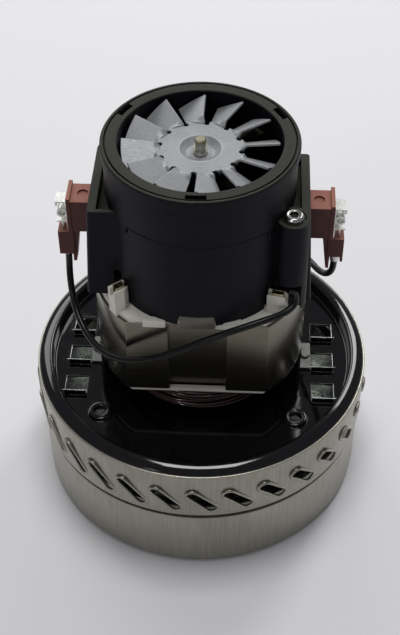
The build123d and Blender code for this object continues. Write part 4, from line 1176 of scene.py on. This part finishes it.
@dataclass
class BarrelTrim:
    """The raised line round the front and rear panel of the barrel."""

    radius: float = 37.0
    level: float = 152.3
    half_deg: float = 46.5
    bead: float = 0.42
    steps: int = 48
    drops: tuple[float, ...] = (3.2, 1.6, 0.5)

    def build(self, shop: Workshop) -> None:
        """Lay the line along the top of both panels, turned down at its ends.

        Args:
            shop: Where pieces are dressed.
        """
        route = [(-1.0, drop) for drop in self.drops]
        route += [(2 * step / self.steps - 1, 0.0) for step in range(self.steps + 1)]
        route += [(1.0, drop) for drop in reversed(self.drops)]
        lines = [[
            on_circle(self.radius, middle + self.half_deg * share, self.level - drop)
            for share, drop in route] for middle in (-90.0, 90.0)]
        shop.place(
            wire_mesh(lines, self.bead), "barrel_line", shop.finishes.black_moulding, "black_moulding",
            smooth_deg=60.0)


@dataclass
class InsulatorFront:
    """The comb in each notch of the skirt, its cream moulding painted grey as shade, and the white tabs
    beside it.
    """

    comb_half: float = 6.95
    comb_front: float = 36.1
    comb_back: float = 34.3
    comb_low: float = 109.2
    comb_high: float = 115.85
    comb_round: float = 0.25
    tabs: tuple[Flat, ...] = ((7.3, 17.4), (-21.4, -12.4))
    tab_front: float = 35.2
    tab_back: float = 32.4
    tab_low: float = 108.3
    tab_high: float = 111.9
    tab_round: float = 0.3

    def build(self, shop: Workshop) -> None:
        """Make the combs and the tabs, front and rear.

        Args:
            shop: Where pieces are dressed.
        """
        kinds = shop.finishes
        combs = slab(
            (-self.comb_half, -self.comb_front, self.comb_low),
            (self.comb_half, -self.comb_back, self.comb_high), self.comb_round)
        tabs = bmesh.new()
        for left, right in self.tabs:
            merge(tabs, slab(
                (left, -self.tab_front, self.tab_low), (right, -self.tab_back, self.tab_high),
                self.tab_round))
        # The combs are the cream insulator moulding, painted grey-beige as shade in the notches.
        shop.place(opposite(combs), "skirt_combs", kinds.comb, "insulator")
        shop.place(opposite(tabs), "flange_tabs", kinds.insulator, "insulator")


@dataclass
class ScrewCap:
    """The rolled ring and the recess of each housing screw's head."""

    spot: Flat = (36.0, -19.7)
    level: float = 153.1
    outer: float = 3.8
    inner: float = 2.05
    ring_foot: float = 0.9
    seat_gap: float = 0.02
    wall: float = 1.5
    crown: float = 0.75
    crest: float = 2.42
    crest_lean: float = 0.1
    pin: float = 1.05
    pin_taper: float = 0.25
    pin_rise: float = 1.75
    floor: float = 1.1
    floor_top: float = 1.25
    axis_gap: float = 0.05

    def build(self, shop: Workshop) -> None:
        """Make the bright rings, and the recesses with their middles, painted dark as shade.

        Args:
            shop: Where pieces are dressed.
        """
        kinds = shop.finishes
        base = self.level
        top = base + self.crest
        rim = lathe(rounded([
            (self.inner, base + self.ring_foot), (self.outer, base + self.seat_gap),
            (self.outer, base + self.wall), (self.outer - self.crown, top),
            (self.inner, top - self.crest_lean),
        ], {2: 0.6, 3: 0.5, 4: 0.25}, 4), 64)
        rest = self.inner + self.crest_lean
        floor = lathe([
            (self.axis_gap, base + self.floor), (rest, base + self.floor), (rest, base + self.floor_top),
            (self.pin, base + self.floor_top), (self.pin - self.pin_taper, base + self.pin_rise),
            (self.axis_gap, base + self.pin_rise),
        ], 48)
        shop.place(opposite(shift(rim, self.spot)), "screw_rings", kinds.screw, "screw_steel")
        # The recesses take the nearly black finish as painted shade.
        shop.place(opposite(shift(floor, self.spot)), "screw_recesses", kinds.recess, "screw_steel")


@dataclass
class LeadFerrule:
    """The tinned sleeve where each lead leaves its shroud."""

    reach: float = 54.4
    inner: float = 1.46
    outer: float = 1.85
    low: float = 115.6
    high: float = 118.4
    rounding: float = 0.15

    def build(self, shop: Workshop) -> None:
        """Make both sleeves.

        Args:
            shop: Where pieces are dressed.
        """
        shape = lathe(rounded([
            (self.inner, self.low), (self.outer, self.low), (self.outer, self.high), (self.inner, self.high),
        ], {1: self.rounding, 2: self.rounding}, 3), 40)
        shop.place(
            opposite(shift(shape, (-self.reach, 0.0))), "lead_ferrules", shop.finishes.tinned, "tinned_strip")


@dataclass
class FieldWinding:
    """The outer layer of turns on one field coil."""

    name: str
    node: str
    middle_deg: float
    radius: float = 33.1
    low: float = 59.05
    high: float = 120.45
    half_deg: float = 45.8
    wire: float = 1.12
    pitch: float = 1.7
    loops: int = 6
    corner: float = 3.0
    # Rise from a loop's end and share of the corner's width, from the end turn to the straight side.
    corner_steps: tuple[Flat, ...] = ((0.4, 0.55), (1.5, 0.9), (3.2, 1.0))
    arc_steps: int = 28
    wander: float = 0.45
    slack: float = 0.3

    def spot(self, azimuth_deg: float, level: float, slack: float = 0.0) -> Point:
        """A point of the winding, at an azimuth from the coil's middle."""
        return on_circle(self.radius + slack, self.middle_deg + azimuth_deg, level)

    def side(self, edge_deg: float, start: float, end: float, whole: bool = True) -> list[Point]:
        """Run the wire along one upright side with its rounded corners.

        Args:
            edge_deg: Where the end turn stops, from the coil's middle.
            start: Level of the end turn it comes from.
            end: Level of the end turn it goes to.
            whole: Whether it goes on past the side's middle.

        Returns:
            The side's points.
        """
        way = math.copysign(1.0, end - start)
        corner_deg = math.copysign(math.degrees(self.corner / self.radius), edge_deg)
        line = [(part, start + way * rise) for rise, part in self.corner_steps]
        line.append((1.0, (self.low + self.high) / 2))
        if whole:
            line += [(part, end - way * rise) for rise, part in reversed(self.corner_steps)]
        return [self.spot(edge_deg + corner_deg * part, level) for part, level in line]

    def path(self) -> list[Point]:
        """Lead the wire round, loop within loop, with a little disorder at the lower end.

        Returns:
            The wire's points.
        """
        points = []
        step_deg = math.degrees(self.pitch / self.radius)
        for loop in range(self.loops):
            half = self.half_deg - step_deg * loop
            following = half - step_deg
            low = self.low + self.pitch * loop
            high = self.high - self.pitch * loop
            wander = self.wander * math.sin(loop * 2.3 + 0.6)
            for index in range(self.arc_steps + 1):
                share = index / self.arc_steps * 2 - 1
                ripple = wander * math.cos(share * 3.0 + loop)
                slack = self.slack * math.sin(loop * 1.9 + share * 2.2)
                points.append(self.spot(half * share, low + ripple, slack))
            points += self.side(half, low, high)
            for index in range(self.arc_steps + 1):
                share = 1 - index / self.arc_steps * 2
                points.append(self.spot((half if share > 0 else following) * share, high))
            points += self.side(-following, high, low + self.pitch, loop < self.loops - 1)
        return points

    def build(self, shop: Workshop) -> None:
        """Wind the coil.

        Args:
            shop: Where pieces are dressed.
        """
        curve = wire(self.name, [self.path()], self.wire / 2, Run.SMOOTH, steps=2)
        shop.mount(curve, self.name, shop.finishes.copper_wire, "copper_wire", self.node)


FRONT_ROUTE = (
    (-54.4, 0.0, 121.2), (-54.4, 0.0, 113.6), (-54.5, -2.8, 105.8), (-53.3, -8.0, 98.8),
    (-51.0, -14.2, 94.4), (-47.4, -21.0, 91.6), (-42.4, -28.4, 90.4), (-36.4, -34.2, 90.6),
    (-29.4, -38.2, 92.2), (-21.4, -40.4, 94.8), (-13.2, -41.2, 98.4), (-4.6, -40.9, 102.6),
    (4.4, -40.0, 107.4), (13.0, -38.9, 111.0), (21.2, -36.6, 112.8), (28.4, -33.4, 113.4),
    (34.8, -29.9, 113.6), (38.5, -26.3, 115.0), (38.5, -24.9, 118.6), (37.4, -25.1, 121.2),
    (35.2, -25.9, 122.0),
)
REAR_ROUTE = (
    (54.4, 0.0, 121.2), (54.4, 0.0, 114.0), (54.2, 2.4, 107.0), (52.3, 6.2, 101.4),
    (49.6, 12.2, 97.6), (46.4, 20.2, 95.4), (41.4, 28.2, 94.6), (34.6, 34.6, 95.0),
    (26.6, 38.8, 96.4), (18.2, 40.8, 98.8), (9.6, 41.4, 101.8), (0.8, 40.8, 105.2),
    (-8.0, 39.8, 108.6), (-16.6, 38.2, 111.4), (-24.2, 35.4, 112.9), (-30.6, 32.2, 113.4),
    (-35.4, 29.3, 113.6), (-38.6, 26.3, 115.1), (-38.5, 24.9, 118.6), (-37.4, 25.1, 121.2),
    (-35.2, 25.9, 122.0),
)


@dataclass
class Lead:
    """One sleeved lead from a brush holder to a coil post."""

    name: str
    node: str
    route: tuple[Point, ...]
    length: float
    diameter: float = 2.8

    def build(self, shop: Workshop) -> None:
        """Lay the lead along its route.

        Args:
            shop: Where pieces are dressed.
        """
        curve = wire(self.name, [list(self.route)], self.diameter / 2, Run.SMOOTH, rings=6, steps=10)
        piece = shop.mount(curve, self.name, shop.finishes.sleeve, "lead_sleeve", self.node)


@dataclass(frozen=True)
class Lamp:
    """One soft area lamp that faces the motor, in metres and watts."""

    name: str
    spot: Point
    size: Flat
    power: float
    aim: Point = (0.0, 0.0, 0.08)

    def hang(self) -> None:
        """Hang the lamp and turn it to the motor."""
        data = bpy.data.lights.new(self.name, "AREA")
        data.shape = "RECTANGLE"
        data.size, data.size_y = self.size
        data.energy = self.power
        lamp = stand(self.name, data)
        lamp.location = self.spot
        lamp.rotation_euler = (Vector(self.aim) - Vector(self.spot)).to_track_quat("-Z", "Y").to_euler()


@dataclass
class Studio:
    """The floor, the soft lights and the camera at the photograph's viewing angle, in metres."""

    target: Point = (-0.000539, -0.000028, 0.07937)
    distance: float = 0.51735
    azimuth_deg: float = 3.0
    elevation_deg: float = 45.18
    roll_deg: float = -0.33
    lens: float = 68.03
    sensor: float = 36.0
    clip: Flat = (0.01, 20.0)
    floor_size: float = 3.0
    floor_colour: str = "dddcde"
    room_colour: str = "d4d4da"
    room_light: float = 0.3
    lamps: tuple[Lamp, ...] = (
        Lamp("ceiling", (0.0, 0.1, 1.65), (0.6, 0.6), 12.0),
        Lamp("window", (-0.8, 1.28, 1.04), (1.0, 0.8), 8.5),
        Lamp("side", (0.63, 1.18, 1.2), (0.4, 0.8), 8.5),
        Lamp("strip", (-0.03, 1.5, 0.45), (0.24, 0.1), 2.0),
        Lamp("front", (-0.7, -1.25, 1.2), (0.16, 0.12), 1.6),
    )

    def camera(self) -> None:
        """Set the camera where the photograph was taken from."""
        azimuth = math.radians(self.azimuth_deg)
        elevation = math.radians(self.elevation_deg)
        roll = math.radians(self.roll_deg)
        back = Vector((
            math.sin(azimuth) * math.cos(elevation), -math.cos(azimuth) * math.cos(elevation),
            math.sin(elevation)))
        right = Vector((math.cos(azimuth), math.sin(azimuth), 0.0))
        up = back.cross(right)
        turned_right = right * math.cos(roll) + up * math.sin(roll)
        turned_up = up * math.cos(roll) - right * math.sin(roll)
        frame = Matrix((turned_right, turned_up, back)).transposed().to_4x4()
        data = bpy.data.cameras.new("camera")
        data.lens = self.lens
        data.sensor_width = self.sensor
        data.clip_start, data.clip_end = self.clip
        camera = stand("camera", data)
        camera.matrix_world = Matrix.Translation(Vector(self.target) + back * self.distance) @ frame
        bpy.context.scene.camera = camera

    def floor(self) -> None:
        """Lay a wide pale floor."""
        shape = bmesh.new()
        bmesh.ops.create_grid(shape, x_segments=1, y_segments=1, size=self.floor_size)
        mesh = bpy.data.meshes.new("floor")
        shape.to_mesh(mesh)
        shape.free()
        # Matt laminate of a pale table: nearly white, with hardly any gloss.
        made = bpy.data.materials.new("pale_table")
        made.use_nodes = True
        shader = made.node_tree.nodes["Principled BSDF"]
        shader.inputs["Base Color"].default_value = linear(self.floor_colour)
        shader.inputs["Roughness"].default_value = 0.7
        shader.inputs["Specular IOR Level"].default_value = 0.2
        mesh.materials.append(made)
        stand("floor", mesh)

    def build(self) -> None:
        """Set up the whole studio."""
        self.camera()
        self.floor()
        world = bpy.data.worlds.new("room")
        bpy.context.scene.world = world
        world.use_nodes = True
        ground = world.node_tree.nodes["Background"]
        ground.inputs["Color"].default_value = linear(self.room_colour)
        ground.inputs["Strength"].default_value = self.room_light
        for lamp in self.lamps:
            lamp.hang()
        bpy.context.scene.view_settings.view_transform = "Standard"


def dress_packed_nodes(shop: Workshop) -> None:
    """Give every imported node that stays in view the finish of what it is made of.

    Args:
        shop: Where pieces are dressed.
    """
    kinds = shop.finishes
    groups = (
        (kinds.zinc, ("bearing_cup", "impeller_washers", "impeller_spacers", "impeller_nut", "fan_bush",
                      "housing_screws")),
        (kinds.bracket, ("stator_brackets", "bracket_rivets")),
        (kinds.clip, ("coil_terminals",)),
        (kinds.galvanised, ("stage_plate", "return_guide", "first_impeller", "second_impeller")),
        (kinds.ground, ("shaft", "lower_bearing_inner_race", "lower_bearing_outer_race",
                        "lower_bearing_balls", "upper_bearing_inner_race", "upper_bearing_outer_race",
                        "upper_bearing_balls", "wave_washer", "brush_spring_left", "brush_spring_right")),
        (kinds.laminations, ("armature_core", "stator_core")),
        (kinds.copper_wire, ("armature_windings", "field_coil_core_front", "field_coil_core_rear")),
        (kinds.insulator, ("armature_insulators", "upper_insulator", "lower_insulator")),
        (kinds.phenolic, ("commutator_hub", "brush_holder_left", "brush_holder_right")),
        (kinds.copper_bar, ("commutator_segments",)),
        (kinds.brass, ("brush_tube_left", "brush_tube_right", "brush_end_plate_left",
                       "brush_end_plate_right")),
        (kinds.black_moulding, ("motor_housing",)),
        (kinds.carbon, ("brush_left", "brush_right")),
        (kinds.tinned, ("brush_terminal_left", "brush_terminal_right", "lead_crimp_left",
                        "lead_crimp_right")),
    )
    for finish, nodes in groups:
        for node in nodes:
            shop.dress(node, finish)


def main() -> None:
    """Build the motor piece by piece."""
    logging.basicConfig(level=logging.INFO, format="%(message)s")
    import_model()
    Studio().build()
    shop = Workshop()
    dress_packed_nodes(shop)
    for assembly in (
        Lead("front_lead", "lead_front", FRONT_ROUTE, 149.0),
        Lead("rear_lead", "lead_rear", REAR_ROUTE, 144.0),
        FieldWinding("front_winding", "field_coil_front", -90.0),
        FieldWinding("rear_winding", "field_coil_rear", 90.0),
        TurbineCase(), BasePlate(), CoolingFan(), ThreadedEnd(), BarrelTrim(), InsulatorFront(), ScrewCap(),
        LeadFerrule(),
    ):
        assembly.build(shop)


if __name__ == "__main__":
    main()
